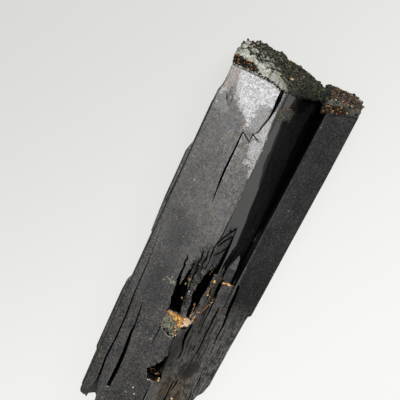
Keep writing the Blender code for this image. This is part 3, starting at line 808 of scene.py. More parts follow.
# The crystal's colours; where there are two, a noise or a place chooses between them
crystalTints = dict(
    glossy=rgb(0.003, 0.003, 0.0032),
    plain=(rgb(0.072, 0.070, 0.067), rgb(0.012, 0.0115, 0.0105)),  # on the broad and on the slim prism
    dusty=rgb(0.205, 0.196, 0.184),
    lichen=rgb(0.055, 0.058, 0.032),
    greenStain=rgb(0.045, 0.052, 0.022),
    swirl=rgb(0.018, 0.018, 0.019),
    powder=(rgb(0.16, 0.16, 0.165), rgb(0.64, 0.64, 0.645)),
    powderVein=rgb(0.62, 0.62, 0.62),
    powderPit=rgb(0.13, 0.125, 0.12),
    greyFrost=(rgb(0.10, 0.10, 0.10), rgb(0.27, 0.27, 0.27)),
    greyPatch=rgb(0.17, 0.167, 0.165),
    bright=rgb(0.40, 0.395, 0.385),
    brownStrip=(rgb(0.30, 0.275, 0.26), rgb(0.13, 0.10, 0.09)),
    rib=rgb(0.007, 0.0072, 0.0055),
    matter=(rgb(0.012, 0.014, 0.008), rgb(0.105, 0.110, 0.072)),
    foot=rgb(0.003, 0.0027, 0.0023),
    weathered=(rgb(0.058, 0.050, 0.038), rgb(0.105, 0.101, 0.090)),
    darkBand=rgb(0.007, 0.006, 0.0045),
    stain=(rgb(0.030, 0.017, 0.007), rgb(0.110, 0.075, 0.036)),
    arc=rgb(0.20, 0.17, 0.12),
    brownPatch=(rgb(0.004, 0.003, 0.002), rgb(0.026, 0.017, 0.008)),
    facetDirtAndShade=(rgb(0.008, 0.008, 0.006), rgb(0.080, 0.080, 0.048)),
    whitened=rgb(0.27, 0.26, 0.21),
    crackRimHighlight=rgb(0.30, 0.295, 0.28),
    worn=rgb(0.09, 0.087, 0.08),
    speck=(rgb(0.26, 0.255, 0.25), rgb(0.26, 0.20, 0.13)),
    bit=rgb(0.40, 0.36, 0.29),
    notch=rgb(0.007, 0.007, 0.007),
)


def aegirineMaterial():
    material, start, place, x, y, z = newMaterial("blackAegirine")
    tints = crystalTints
    flatNormal = start.node("NewGeometry", output=3)
    facing = start.node("SeparateXYZ", None, {0: flatNormal}, output=2)
    tipward = start.node("SeparateXYZ", None, {0: flatNormal}, output=1)
    hollow = start.attribute("hollow")
    worn = start.attribute("worn")
    front = facing.ramp(0.9, 0.97) * z.ramp(14, 16)
    slim = x.ramp(8.8, 9.6)
    broad = front * z.ramp(20.9, 21.3)
    low = (y + 6 * place.noise(0.3, 2) - 3 - 1.6 * x.least(5)).ramp(-12, -22)
    low = low * x.ramp(-1.4, 0.2) * facing.ramp(0.3, 0.6)
    broken = tipward.ramp(-0.35, -0.6) * y.ramp(-46, -50)
    ended = tipward.ramp(0.12, 0.3) * y.ramp(48.5, 49.5)  # what faces the crust
    wander = place.noise(0.45, 3, 0.6) - 0.5
    blotch = place.noise(1, 5, 0.62)
    mottle = place.noise(2.4, 4, 0.65)
    grain = place.noise(6, 3, 0.6)
    streaks = place.stretched((1, 0.06, 1)).noise(4.5, 4, 0.6)
    furrows = place.stretched((1, 0.012, 1)).noise(2.4, 3, 0.6)
    fibres = place.stretched((1, 0.14, 1)).noise(1.5, 4, 0.6)
    patches = place.stretched((1, 0.6, 1)).noise(0.2, 3, 0.6).ramp(0.38, 0.62)
    edgeNoise = 2.6 * wander + 2.0 * (mottle - 0.5)

    def area(corners, soft=0.6):
        return (insideOutline(x, y, corners) + edgeNoise).ramp(-soft, soft)

    def areas(outlines, soft):
        return area(outlines[0], soft).most(*[area(corners, soft) for corners in outlines[1:]])

    def thin(noiseSignal, width):  # thin lines where a noise crosses its middle
        offset = noiseSignal - 0.5
        return offset.most(0.0 - offset).ramp(width, 0.0)

    # the plain surface, dustier towards the tip and the ridge
    upper = (y + 14 * wander).ramp(-18, 44)
    beside = (x + 8 * wander).ramp(-15, -1)
    fine = (0.5 * mottle + 0.5 * grain).ramp(0.43, 0.57)
    coarse = blotch.ramp(0.40, 0.60)
    scratches = thin(place.stretched((1, 0.35, 1)).noise(0.5, 3, 0.7), 0.012)
    scratches = scratches * place.noise(0.6, 2).ramp(0.45, 0.6)
    swirls = thin(place.stretched((0.55, 1, 1)).noise(0.33, 4, 0.6), 0.02) * blotch.ramp(0.42, 0.6)
    tone = 0.42 * fine + 0.20 * patches + 0.28 * coarse + 0.20 * fibres.ramp(0.40, 0.60)
    tone = tone + 0.35 * scratches + 0.3 * swirls
    plain = slim.mixed(*tints["plain"])
    dusty = (upper * broad * (0.3 + 0.7 * beside)).mixed(plain, tints["dusty"])
    colour = (tone * (0.15 + 0.85 * front)).mixed(tints["glossy"], dusty)
    warmth = place.noise(0.8, 3, 0.5).ramp(0.5, 0.64)
    colour = (0.6 * warmth * front).mixed(colour, colour.stretched((1.18, 0.92, 0.70)))
    coolness = place.stretched((1, 0.7, 1.3)).noise(0.5, 3, 0.5).ramp(0.5, 0.66)
    colour = (0.7 * coolness * front).mixed(colour, colour.stretched((0.80, 0.84, 0.96)))

    # the frosted and greyish places by the tip
    frost = areas(frostedAreas, 0.9).most(area(frostedSpike, 0.6))
    bright = area(brightPatches[0], 0.5).most(areas(brightPatches[1:], 0.4))
    grey = area(greyFrost, 0.7)
    pale = area(greyPatch, 0.5)
    brown = area(brownStrip, 0.5)
    pits = place.stretched((1, 0.7, 1)).noise(3.4, 2, 0.6).ramp(0.43, 0.36)
    veins = thin(place.noise(0.9, 4, 0.7), 0.03)
    powder = (0.55 * fine + 0.45 * coarse).mixed(*tints["powder"])
    powder = (0.6 * veins).mixed(powder, tints["powderVein"])
    powder = (0.8 * pits).mixed(powder, tints["powderPit"])
    greyish = fine.mixed(*tints["greyFrost"])
    banded = streaks.ramp(0.40, 0.60).mixed(*tints["brownStrip"])

    # the rough, stained and dirty places
    lichen = place.noise(0.9, 4, 0.65).ramp(0.60, 0.70)
    greened = blotch.ramp(0.44, 0.56)
    swirl = area(darkSwirl, 1).most(areas(darkPatches, 2))
    crusted = mottle.ramp(0.5, 0.6)  # thin matter on the rough places, greenish where it is thick
    matter = grain.ramp(0.42, 0.58).mixed(*tints["matter"])
    rib = area(ribTop, 0.8).most(0.6 * area(bumpyPlace, 0.8), 0.8 * area(greenRib, 0.6))
    rib = rib * facing.ramp(0.3, 0.6)
    striped = (0.5 * streaks + 0.25 * blotch + 0.25 * mottle).ramp(0.44, 0.56)
    weathered = slim.mixed(*tints["weathered"])
    band = area(darkBand, 1) * front.most(low)
    stain = area(stainedFoot, 1.5) * blotch.ramp(0.42, 0.55)
    arcs = area(arcPlace, 0.5) * thin(place.stretched((1, 0.9, 1)).noise(0.6, 1), 0.035)
    patch = area(brownPatch, 0.6).most(areas(darkSpots, 0.4))
    # painted shade below the crust at the strip's top: near-black matte beside the facet, near-black with
    # mottled greenish matter under it
    shadowBesideFacet = area(shadeBesideFacet, 0.7)
    facetDirtAndShade = area(dirtAndShadeUnderFacet, 0.7).most(shadowBesideFacet) * z.ramp(16.5, 17.5) * facing.ramp(0.95, 0.9)
    facetDirtAndShadeTint = (mottle.ramp(0.52, 0.60) * (y - 46.8).ramp(0.4, -0.4)).mixed(*tints["facetDirtAndShade"])
    line = area(whitenedLine, 0.3) * front
    # painted highlight and paler worn edge along the front crack's right rim
    rimHighlight = area(crackRimHighlight, 0.12) * broad * fine

    # specks and small dark notches
    many = (0.10 + 0.2 * upper + place.noise(0.35, 2).ramp(0.42, 0.62)) * front
    many = many * (1 - 0.6 * slim) * (1 - 0.8 * low)
    speck = place.noise(3.2, 1).ramp(0.64, 0.70) * many
    hue = place.noise(1.3).ramp(0.42, 0.58).mixed(*tints["speck"])
    chosen = start.node("SeparateXYZ", None, {0: place.cells(0.55, 1)}).ramp(0.72, 0.77)
    bits = place.cells(0.55).ramp(0.16, 0.08) * chosen * many
    notch = place.stretched((1, 0.8, 1)).noise(2.5, 1).ramp(0.36, 0.30) * front

    layers = [  # from the lowest to the topmost
        (0.5 * lichen * front * fine, tints["lichen"]),
        *[(0.8 * (area(corners) * greened) * front, tints["greenStain"]) for corners in greenStains],
        (0.5 * swirl * front, tints["swirl"]),
        ((pale * broad * (0.2 + 0.8 * fine)).clamped(), tints["greyPatch"]),
        (0.9 * grey * broad, greyish),
        (0.97 * frost * broad, powder),
        (0.9 * ended * x.ramp(-2, -3), powder),
        (bright * broad * (0.25 + 0.75 * fine), tints["bright"]),
        (0.9 * brown * broad, banded),
        (0.95 * rib, crusted.mixed(tints["rib"], matter)),
        (0.9 * low, striped.mixed(tints["foot"], weathered)),
        (0.75 * band, tints["darkBand"]),
        (0.85 * stain, fine.mixed(*tints["stain"])),
        (0.7 * arcs, tints["arc"]),
        (0.9 * patch, fine.mixed(*tints["brownPatch"])),
        (0.92 * facetDirtAndShade, facetDirtAndShadeTint),
        (0.7 * line * mottle.ramp(0.42, 0.5), tints["whitened"]),
        (0.8 * rimHighlight, tints["crackRimHighlight"]),
        ((0.45 * worn * (0.3 + 0.7 * blotch)).clamped(), tints["worn"]),
        ((0.8 * speck).clamped(), hue),
        ((0.85 * bits).clamped(), tints["bit"]),
        (0.75 * notch, tints["notch"]),
    ]
    for share, added in layers:
        colour = share.mixed(colour, added)

    # painted shade: the surface turns towards matte black where little light gets in or comes back, and on
    # the duller stained places
    upright = facing.ramp(0.97, 0.93)
    inGroove = x.ramp(4.6, 5.4) * x.ramp(10.2, 9.9) * z.ramp(17.4, 16.2) * y.ramp(-3, 6) * upright
    strip = x.ramp(-0.7, -0.4) * x.ramp(10.2, 9.9) * y.ramp(-5, 0) * upright
    side = facing.ramp(0.75, 0.55) * (1 - strip)
    # painted shade, mottled and streaked, over the stepped part of the strip
    steps = area(shadedStepPlace, 0.8) * (0.25 + 0.45 * mottle.ramp(0.42, 0.58) + 0.3 * streaks.ramp(0.40, 0.60))
    # painted shade on the tongue in the groove, below 17.4 mm
    tongueShade = area(shadedTonguePlace, 0.5) * z.ramp(17.4, 16.8)
    rimShadow = slim * (y - 0.287 * x).ramp(46.75, 46.95)  # painted shadow on the slim prism under the crust's rim
    slimShade = (0.25 + 0.2 * y.ramp(15, 42)) * (1.25 - 0.5 * fine) * y.ramp(-24, -12)
    paintedShade = (hollow + 0.3 * inGroove).ramp(0.72, 0.92).most(
        0.9 * shadowBesideFacet,
        0.8 * steps,
        0.5 * tongueShade,
        0.1 * facetDirtAndShade,
        # painted shade on the end faces under the crust's rim, right of x = -2 mm
        0.93 * ended * x.ramp(-3, -2),
        0.85 * rimShadow,
        slimShade * slim * front,
        0.24 * broad * (1 - fine) * y.ramp(42, 30),
        0.2 * swirl * front,
        0.15 * strip,
        0.7 * side * furrows.ramp(0.44, 0.34),
        0.5 * side * streaks.ramp(0.44, 0.34),
        0.5 * rib * (1 - crusted),
        0.7 * band * (0.5 + 0.5 * striped),
        0.45 * low * (1 - striped),
        0.5 * patch,
    )

    sheen = 0.10 + 0.04 * streaks - 0.085 * strip
    frontRough = 0.17 + 0.12 * upper + 0.22 * fine * (0.5 + 0.5 * upper) + 0.08 * patches - 0.11 * slim
    rough = front.mixed(sheen, frontRough).most(
        0.34 * broken,
        0.6 * ended,
        0.5 * worn,
        0.55 * rib,
        0.5 * stain,
        0.45 * low,
        0.5 * facetDirtAndShade,
        0.62 * frost * broad,
        0.5 * pale * broad,
        0.5 * grey * broad,
        0.55 * bright * broad,
        0.5 * brown * broad,
        0.6 * patch,
        0.6 * speck,
    )

    flat = (0.3 * streaks + 0.2 * fibres) * (1 - 0.85 * strip) + side * (1.3 * streaks + 1.4 * furrows)
    rich = 0.4 * streaks + 0.5 * grain + 0.6 * fibres + 0.8 * blotch + 1.1 * mottle + 0.4 * scratches
    uneven = (front + rib + low + broken).clamped()
    height = flat + uneven * rich * (1 + 0.4 * broad)
    finishMaterial(start, colour, rough, height, crystal["bump"], {"IOR": crystal["ior"]}, paintedShade)
    return material


crystalPiece = asPiece(buildCrystal(), "aegirinePrisms", ["crystal"], aegirineMaterial(), 30.0)
crystalTree = BVHTree.FromPolygons(
    [vert.co for vert in crystalPiece.data.vertices],
    [tuple(face.vertices) for face in crystalPiece.data.polygons],
)
print("crystal ready", len(crystalPiece.data.polygons), "faces")


# The crust on the tip

crust = dict(
    voxel=0.34 * mm,
    smoothRounds=3,
    seamY=52.6,
    slimSeam=(51.9, 14.0, 0.287),  # on the slim prism the seam's y at this x, and its slope
    # how far the rim laps over: (x, mm)
    seamReach=[(-12, 0.35), (-7, 0.5), (-3, 1.0), (-1, 1.3), (3, 1.3), (8, 0.6), (9.5, 1.0)],
    rimHeight=1.3,
    ribDepth=0.2 * mm,
    lumpDepth=0.6 * mm,
    # how far the end lies below the solid's: (x, mm)
    endDrop=[
        (-18, 0.9), (-15, 0.8), (-13, 0.5), (-5, 0.5), (0, 0.8), (2, 1.4), (5, 1.6), (7.4, 0.1), (10, 0.8),
        (15, 0.7), (17.5, 0.1),
    ],
    leftBulge=0.5 * mm,
    highest=22.75 * mm,
    bareEdge=0.35 * mm,  # no grains this close above the pale band
    slimFromX=9.2,
    grains=7600,
    grainSize=(0.2, 0.56),
    grainRoom=0.3 * mm,
    seed=23,
)

# The upper border of the pale band on the broad prism's front: (x, y)
paleBorder = [
    (-17.4, 59.2), (-15.9, 59.2), (-13.9, 58.3), (-12.2, 57.8), (-10.3, 57.5), (-7.9, 56.8), (-5.7, 55.9),
    (-3.8, 54.9), (-2, 53.3), (-0.4, 51.2),
]
# The dark cluster of grains at the left of the seam: its lower and upper border
clusterLow = [(-17.8, 52.6), (-9.9, 53.1)]
clusterHigh = [(-17.8, 54.6), (-16.5, 55.2), (-14.5, 55.2), (-11, 54.7), (-9.8, 53.6)]

# The seam's grains: rows as paths of (x, y), mm
seamRows = dict(
    leftLow=[(-16.9, 53.1), (-14.7, 53.2), (-12.6, 53.2), (-10.3, 53.2)],
    leftMiddle=[(-17, 53.9), (-14.8, 54), (-12.4, 54), (-10.4, 53.7)],
    leftHigh=[(-17, 54.8), (-15.4, 54.8), (-13.4, 54.5), (-11.8, 54.6)],
    right=[(9.4, 50.9), (10.5, 51), (12.2, 51.5), (14.3, 52.1), (15.2, 52.3)],
    rightHigh=[(8.8, 52), (10, 52.2), (11.4, 52.4), (13.6, 52.9)],
    rightEnd=[(9.6, 51.5), (11.6, 51.9), (13.6, 52.5)],
)
seamDots = [
    (-9.3, 53), (-8.6, 52.7), (-7.6, 52.8), (-7, 52.7), (-6.4, 52.5), (-5.5, 52.5), (-4.8, 52.2),
    (-4, 52), (-3.2, 51.7), (-1.5, 51.4), (17.6, 53),
]
seamHook = [(-3.7, 52.1), (-3.2, 51.5), (-2.6, 51.3), (-2.1, 51.9)]
tanSpots = [
    (-1.5, 54.5, 0.9), (-4.2, 54.8, 0.7), (-7.3, 55.6, 0.8), (11.2, 54.4, 0.7), (15, 54.4, 0.6),
    (-14, 57.6, 0.5),
]

endPalette = grainPalette(
    (34, (0.015, 0.016, 0.011)), (30, (0.0035, 0.0035, 0.003)), (15, (0.046, 0.045, 0.033)),
    (8, (0.060, 0.033, 0.013)), (3, (0.13, 0.078, 0.035)), (2, (0.22, 0.18, 0.11)),
    (8, (0.030, 0.036, 0.015)),
)
reddishPalette = grainPalette(
    (26, (0.020, 0.018, 0.014)), (32, (0.0035, 0.0035, 0.003)), (20, (0.100, 0.045, 0.018)),
    (4, (0.20, 0.10, 0.038)), (4, (0.30, 0.23, 0.15)), (14, (0.046, 0.044, 0.034)),
)
mossPalette = grainPalette(
    (42, (0.005, 0.0055, 0.0035)), (28, (0.012, 0.014, 0.006)), (14, (0.026, 0.034, 0.011)),
    (10, (0.026, 0.024, 0.017)), (6, (0.055, 0.062, 0.024)),
)
seamPalette = grainPalette(
    (54, (0.003, 0.0028, 0.0025)), (21, (0.030, 0.014, 0.006)), (18, (0.24, 0.098, 0.022)),
    (7, (0.30, 0.22, 0.09)),
)
blackPalette = grainPalette((1, (0.003, 0.0028, 0.0025)))
hookPalette = grainPalette((60, (0.10, 0.035, 0.012)), (40, (0.02, 0.010, 0.006)))
tanPalette = grainPalette((50, (0.42, 0.33, 0.20)), (30, (0.50, 0.45, 0.34)), (20, (0.28, 0.17, 0.07)))
palePalette = grainPalette((60, (0.24, 0.24, 0.20)), (25, (0.36, 0.36, 0.30)), (15, (0.10, 0.10, 0.075)))


# The crust's colours: from the darker to the paler where there are two
crustTints = dict(
    end=((0.004, 0.0045, 0.003), (0.034, 0.034, 0.026)),
    corner=(0.115, 0.116, 0.098),
    slimFront=((0.030, 0.031, 0.025), (0.068, 0.069, 0.058)),
    slimSeam=(0.016, 0.008, 0.003),
    slimEnd=(0.055, 0.028, 0.015),
    moss=((0.004, 0.0045, 0.003), (0.026, 0.032, 0.012)),
    band=((0.12, 0.122, 0.102), (0.38, 0.388, 0.342)),
    bandBlotch=(0.105, 0.106, 0.082),
    bandFoot=(0.13, 0.132, 0.112),
    cluster=(0.014, 0.008, 0.004),
)
slimSeamLine = [(8.5, 51.8), (11, 52.6), (14, 53.6), (18, 53.8)]


def mixTint(first, second, part):
    part = min(1.0, max(0.0, part))
    return tuple(a + (b - a) * part for a, b in zip(first, second))


def paleness(point, normal):  # 1 on the pale ribbed band, 0 on the granular end
    x, y, z = point / mm
    if x > 1.0:
        return 0.0
    wobble = 0.5 * wave(point, 1.3, 1.3, 40.0)
    below = smooth(between(paleBorder, x) - y + wobble, -0.35, 0.35)
    edge = 0.4 * smooth(-x, 13.5, 15.0)  # the left corner is smooth too
    outside = smooth(normal.z, 0.15 - edge, 0.45 - edge)
    outside += smooth(-normal.x, 0.5, 0.8) * smooth(57.0 - y, -0.4, 0.4)
    return below * min(1.0, outside)


def cornerShare(point):  # 1 at the barer corner at the left of the end
    x, y, z = point / mm
    return smooth(-x + 0.8 * wave(point, 1.5, 1.5, 44.0), 14.0, 15.2) * smooth(z, 15.0, 18.0)


def crustTint(point, normal):
    x, y, z = point / mm
    tints = crustTints
    rough = 0.5 + 0.5 * wave(point, 0.9, 0.9, 12.0)
    end = mixTint(*tints["end"], rough)
    end = mixTint(end, tints["corner"], 0.85 * cornerShare(point))
    if x > crust["slimFromX"]:
        front = smooth(normal.z, 0.5, 0.8)
        veil = 0.5 + 0.5 * wave(point, 1.6, 1.2, 22.0)
        face = mixTint(*tints["slimFront"], veil)
        seam = smooth(between(slimSeamLine, x) - y, -0.3, 0.3)
        face = mixTint(face, tints["slimSeam"], seam * smooth(-x, -16.2, -14.8))
        return mixTint(mixTint(end, tints["slimEnd"], rough), face, front)
    if x > 0.5:
        moss = smooth(x, 0.5, 2.5) * smooth(55.0 - y, -0.5, 1.5)
        return mixTint(end, mixTint(*tints["moss"], rough * rough), moss)
    rib = 0.55 + 1.2 * wave(point, 0.45, 7.0, 5.0) + 0.4 * wave(point, 0.7, 0.7, 35.0)
    band = mixTint(*tints["band"], rib)
    band = mixTint(band, tints["bandBlotch"], smooth(wave(point, 1.8, 1.0, 61.0), 0.1, 0.4) * 0.4)
    band = mixTint(band, tints["bandFoot"], 0.7 * smooth(y - between(paleBorder, x), -2.2, -0.6))
    inside = min(y - between(clusterLow, x), between(clusterHigh, x) - y)
    inside += 0.5 * wave(point, 0.7, 0.7, 90.0)
    cluster = smooth(inside, -0.2, 0.2) * smooth(-x, 9.5, 10.2) * smooth(normal.z, 0.1, 0.4)
    band = mixTint(band, tints["cluster"], cluster)
    return mixTint(end, band, paleness(point, normal))


def scatterOver(bm, count, likely, rng):  # random places on the faces: (point, normal)
    faces = list(bm.faces)
    weights = [face.calc_area() * likely(face.calc_center_median(), face.normal) for face in faces]
    places = []
    for face in rng.choices(faces, weights, k=count):
        first, second, third = [vert.co for vert in face.verts]
        a, b = rng.random(), rng.random()
        if a + b > 1:
            a, b = 1 - a, 1 - b
        places.append((first + (second - first) * a + (third - first) * b, face.normal.copy()))
    return places


def buildCrust():
    rng = random.Random(crust["seed"])
    bm = softened("tip_crust", crust["voxel"], crust["smoothRounds"])
    moves = []
    for vert in bm.verts:
        point, normal = vert.co, vert.normal
        pale = paleness(point, normal)
        lumps = noise.cell(point / (0.9 * mm)) - 0.5
        lumps += 1.4 * wave(point, 0.8, 0.8, 70.0)
        lumps += 0.6 * wave(point, 2.2, 2.2, 30.0)
        away = smooth(point.y / mm, 52.9, 54.2)
        lumps *= 1 - 0.9 * smooth(normal.x, 0.4, 0.8) * smooth(-normal.y, -0.6, -0.3)
        move = crust["lumpDepth"] * lumps * (1 - pale) * (0.25 + 0.75 * away) * 0.6
        move += crust["ribDepth"] * pale * (wave(point, 0.55, 7.0, 5.0) + 0.5 * wave(point, 1.2, 1.4, 15.0))
        moves.append(normal * move)
    for vert, move in zip(bm.verts, moves):
        vert.co += move
    slimY, slimX, slope = crust["slimSeam"]
    for vert in bm.verts:  # the rim laps over the seam
        x, y, z = vert.co / mm
        seam = crust["seamY"] if x < 8.6 else slimY + (x - slimX) * slope
        if y < seam + crust["rimHeight"]:
            ragged = 0.75 + 0.8 * wave(vert.co, 0.9, 0.9, 51.0)
            reach = between(crust["seamReach"], x)
            vert.co.y -= reach * ragged * (1 - (y - seam) / crust["rimHeight"]) * mm
        vert.co.y -= between(crust["endDrop"], x) * smooth(y, 54.0, 56.5) * mm
        vert.co.z = min(vert.co.z, crust["highest"] - crust["grainRoom"])
        vert.co.x -= crust["leftBulge"] * smooth(-x, 15.5, 18.0) * smooth(y, 53.0, 54.5)
    bm.normal_update()
    layer = bm.verts.layers.float_color.new("tint")
    for vert in bm.verts:
        vert[layer] = (*crustTint(vert.co, vert.normal), 1.0)
    for face in bm.faces:
        face.smooth = True
    tree = BVHTree.FromBMesh(bm)

    def likely(point, normal):
        if point.y < 52.9 * mm or point.z < 1.5 * mm:
            return 0.0
        pale = smooth(paleness(point - Vector((0.0, crust["bareEdge"], 0.0)), normal), 0.0, 0.5)
        slimFront = smooth(normal.z, 0.5, 0.8) if point.x > crust["slimFromX"] * mm else 0.0
        side = 0.45 if normal.y < 0.3 else 1.0
        if normal.x > 0.6 and normal.y < 0.5:
            side = 0.03
        if point.x > 17.2 * mm:
            side *= 0.15
        side *= 1 - 0.85 * cornerShare(point)
        return side * (1 - 0.97 * pale) * (1 - 0.96 * slimFront)

    for point, normal in scatterOver(bm, crust["grains"], likely, rng):
        x, y, z = point / mm
        if paleness(point, normal) > 0.5:
            palette = palePalette
        elif x > crust["slimFromX"]:
            palette = reddishPalette
        elif x > 1.5 and y < 55.2:
            palette = mossPalette
        else:
            palette = endPalette
        size = rng.uniform(*crust["grainSize"]) * rng.choice((0.8, 0.9, 1.5)) * mm
        centre = point + normal * size * rng.uniform(0.0, 0.3)
        centre.z = min(centre.z, crust["highest"] - size / 2)
        addGrain(bm, layer, centre, size, pickTint(rng, palette), rng)
    for path in seamRows.values():
        addTrail(bm, layer, tree, path, 0.14, 0.42, 0.2, seamPalette, rng, 0.2)
    for x, y in seamDots:
        addTrail(bm, layer, tree, [(x - 0.15, y), (x + 0.15, y)], 0.15, 0.52, 0.05, blackPalette, rng, 0.35)
        aslant = [(x - 0.3, y - 0.3), (x + 0.3, y + 0.25)]
        addTrail(bm, layer, tree, aslant, 0.3, 0.3, 0.05, hookPalette, rng, 0.35)
    addTrail(bm, layer, tree, seamHook, 0.16, 0.4, 0.06, hookPalette, rng, 0.2)
    for x, y, spread in tanSpots:
        across = [(x - spread / 2, y), (x + spread / 2, y)]
        addTrail(bm, layer, tree, across, 0.1, 0.42, 0.2, tanPalette, rng, 0.4)
    return bm


def grainMaterial(name, roughness, ior):
    material, start, place, x, y, z = newMaterial(name)
    tint = start.attribute("tint", 0)
    mottle = place.noise(2.4, 4.0, 0.65)
    grain = place.noise(7.0, 3.0, 0.6)
    shade = (0.5 * mottle + 0.5 * grain).ramp(0.3, 0.7)
    deep = tint.stretched((0.45, 0.43, 0.40))
    lit = tint.stretched((1.45, 1.45, 1.45))
    colour = shade.mixed(deep, lit)
    height = 0.6 * mottle + 0.4 * grain
    bump = dict(strength=0.5, distance=0.12 * mm)
    finishMaterial(start, colour, roughness + 0.25 * mottle, height, bump, {"IOR": ior})
    return material


crustMaterial = grainMaterial("tipCrust", 0.5, 1.3)
crustPiece = asPiece(buildCrust(), "tipCrust", ["tip_crust"], crustMaterial)
print("crust ready", len(crustPiece.data.polygons), "faces")


# The ochre in the pocket, with the grey-green matter below it

ochre = dict(
    voxel=0.24 * mm,
    lumpDepth=0.38 * mm,
    spread=0.5 * mm,  # how far it reaches beyond the solid's sides
    footRise=1.9 * mm,  # how much higher its lower end is than the solid's
    highest=22.7 * mm,
    creamDrop=0.5 * mm,  # the pale part lies lower
    creamLow=-19.3,  # and its lower side runs aslant: mm at x = 0
    creamSlope=1.46,
    grains=640,
    grainSize=(0.2, 0.55),
    grainRoom=0.3 * mm,
    seed=5,
)
ochreTints = dict(
    yellow=((0.24, 0.10, 0.02), (0.58, 0.30, 0.07)),
    cream=((0.28, 0.17, 0.09), (0.66, 0.54, 0.40)),
    green=((0.055, 0.060, 0.046), (0.19, 0.205, 0.16)),
)
ochrePalette = grainPalette(
    (34, (0.50, 0.23, 0.045)), (22, (0.62, 0.36, 0.11)), (20, (0.36, 0.13, 0.025)), (12, (0.66, 0.48, 0.26)),
    (12, (0.10, 0.045, 0.015)),
)
creamPalette = grainPalette(
    (34, (0.62, 0.50, 0.36)), (30, (0.66, 0.58, 0.48)), (20, (0.55, 0.30, 0.12)), (16, (0.12, 0.07, 0.035)),
)
lichenPalette = grainPalette(
    (38, (0.095, 0.105, 0.080)), (14, (0.022, 0.024, 0.018)), (26, (0.17, 0.185, 0.145)),
    (14, (0.24, 0.24, 0.12)), (8, (0.30, 0.18, 0.07)),
)

# Paler and warmer grains along the rims of the grey-green matter
ochreRims = [
    ([(-4.5, -16.5), (-4.9, -17.9), (-5.1, -19.3)], palePalette),
    ([(-5.2, -18.6), (-5, -19.6), (-3.8, -20.4), (-2.4, -21.2), (-1, -21.6), (-0.4, -20.4)], creamPalette),
    ([(-1.3, -18), (-0.9, -19), (-0.5, -20)], ochrePalette),
]
# The border between the ochre and the grey-green matter: (x, y)
ochreBorder = [(-4.9, -16.1), (-4.1, -16.2), (-2.5, -16.6), (-1.5, -17.2), (-0.5, -17.8), (2.6, -18.4)]


def ochreShare(point):  # 1 where the ochre is, 0 on the grey-green matter
    x, y, z = point / mm
    border = between(ochreBorder, x)
    return smooth(y - border + 0.9 * wave(point, 0.9, 0.9, 3.0), -0.25, 0.25)


def buildOchre():
    rng = random.Random(ochre["seed"])
    bm = softened("pocket_ochre", ochre["voxel"], 1)
    layer = bm.verts.layers.float_color.new("tint")
    for vert in bm.verts:
        point = vert.co.copy()
        share = ochreShare(point)
        lumps = 1.2 * wave(point, 0.8, 0.8, 7.0) + 0.8 * wave(point, 0.35, 0.35, 19.0)
        lumps -= 0.25
        lumps -= 0.35 * (1 - share)
        cream = smooth(point.x / mm, -0.4, 0.6)
        lumps -= 0.5 * cream
        sides = Vector((vert.normal.x, min(vert.normal.y, 0.0), 0.0)) * (1 - 1.3 * cream)
        vert.co += vert.normal * ochre["lumpDepth"] * lumps + sides * ochre["spread"]
        vert.co.z += ochre["footRise"] * smooth(vert.normal.z, 0.2, 0.7) * smooth(-point.y / mm, 16.6, 19.0)
        vert.co.z = min(vert.co.z, ochre["highest"] - ochre["grainRoom"]) - ochre["creamDrop"] * cream
        lowest = ochre["creamLow"] * mm + ochre["creamSlope"] * vert.co.x
        if cream > 0 and vert.co.y < lowest:
            vert.co.y += 0.85 * cream * (lowest - vert.co.y)
        dark = 0.5 + wave(point, 0.5, 0.5, 12.0)
        yellow, pale, green = [mixTint(*pair, dark) for pair in ochreTints.values()]
        warm = mixTint(yellow, pale, smooth(point.x / mm + 0.8 * wave(point, 1.0, 1.0, 2.0), -0.6, 1.2))
        vert[layer] = (*mixTint(green, warm, share), 1.0)
    for face in bm.faces:
        face.smooth = True

    def likely(point, normal):
        return max(0.0, normal.z)

    for point, normal in scatterOver(bm, ochre["grains"], likely, rng):
        if ochreShare(point) < 0.5:
            palette = lichenPalette
        elif point.x > 0.0:
            palette = creamPalette
        else:
            palette = ochrePalette
        size = rng.uniform(*ochre["grainSize"]) * mm
        centre = point + normal * size * 0.15
        centre.z = min(centre.z, ochre["highest"] - size / 2)
        addGrain(bm, layer, centre, size, pickTint(rng, palette), rng)
    tree = BVHTree.FromBMesh(bm)
    for path, palette in ochreRims:
        addTrail(bm, layer, tree, path, 0.16, 0.3, 0.12, palette, rng)
    return bm


ochreMaterial = grainMaterial("ochre", 0.68, 1.45)
ochrePiece = asPiece(buildOchre(), "pocketOchre", ["pocket_ochre"], ochreMaterial)
print("ochre ready", len(ochrePiece.data.polygons), "faces")


# Traces of ochre and pale specks that lie on the crystal: path, step, size, scatter, palette

brightPalette = grainPalette((55, (0.72, 0.40, 0.14)), (30, (0.62, 0.30, 0.08)), (15, (0.74, 0.52, 0.30)))
dullPalette = grainPalette((45, (0.30, 0.15, 0.06)), (30, (0.42, 0.25, 0.11)), (25, (0.10, 0.055, 0.03)))
rustPalette = grainPalette((60, (0.20, 0.075, 0.03)), (40, (0.11, 0.05, 0.025)))
whitePalette = grainPalette((1, (0.62, 0.62, 0.60)))
darkGreenPalette = grainPalette(
    (40, (0.09, 0.095, 0.055)), (35, (0.03, 0.034, 0.017)), (25, (0.16, 0.16, 0.11)),
)

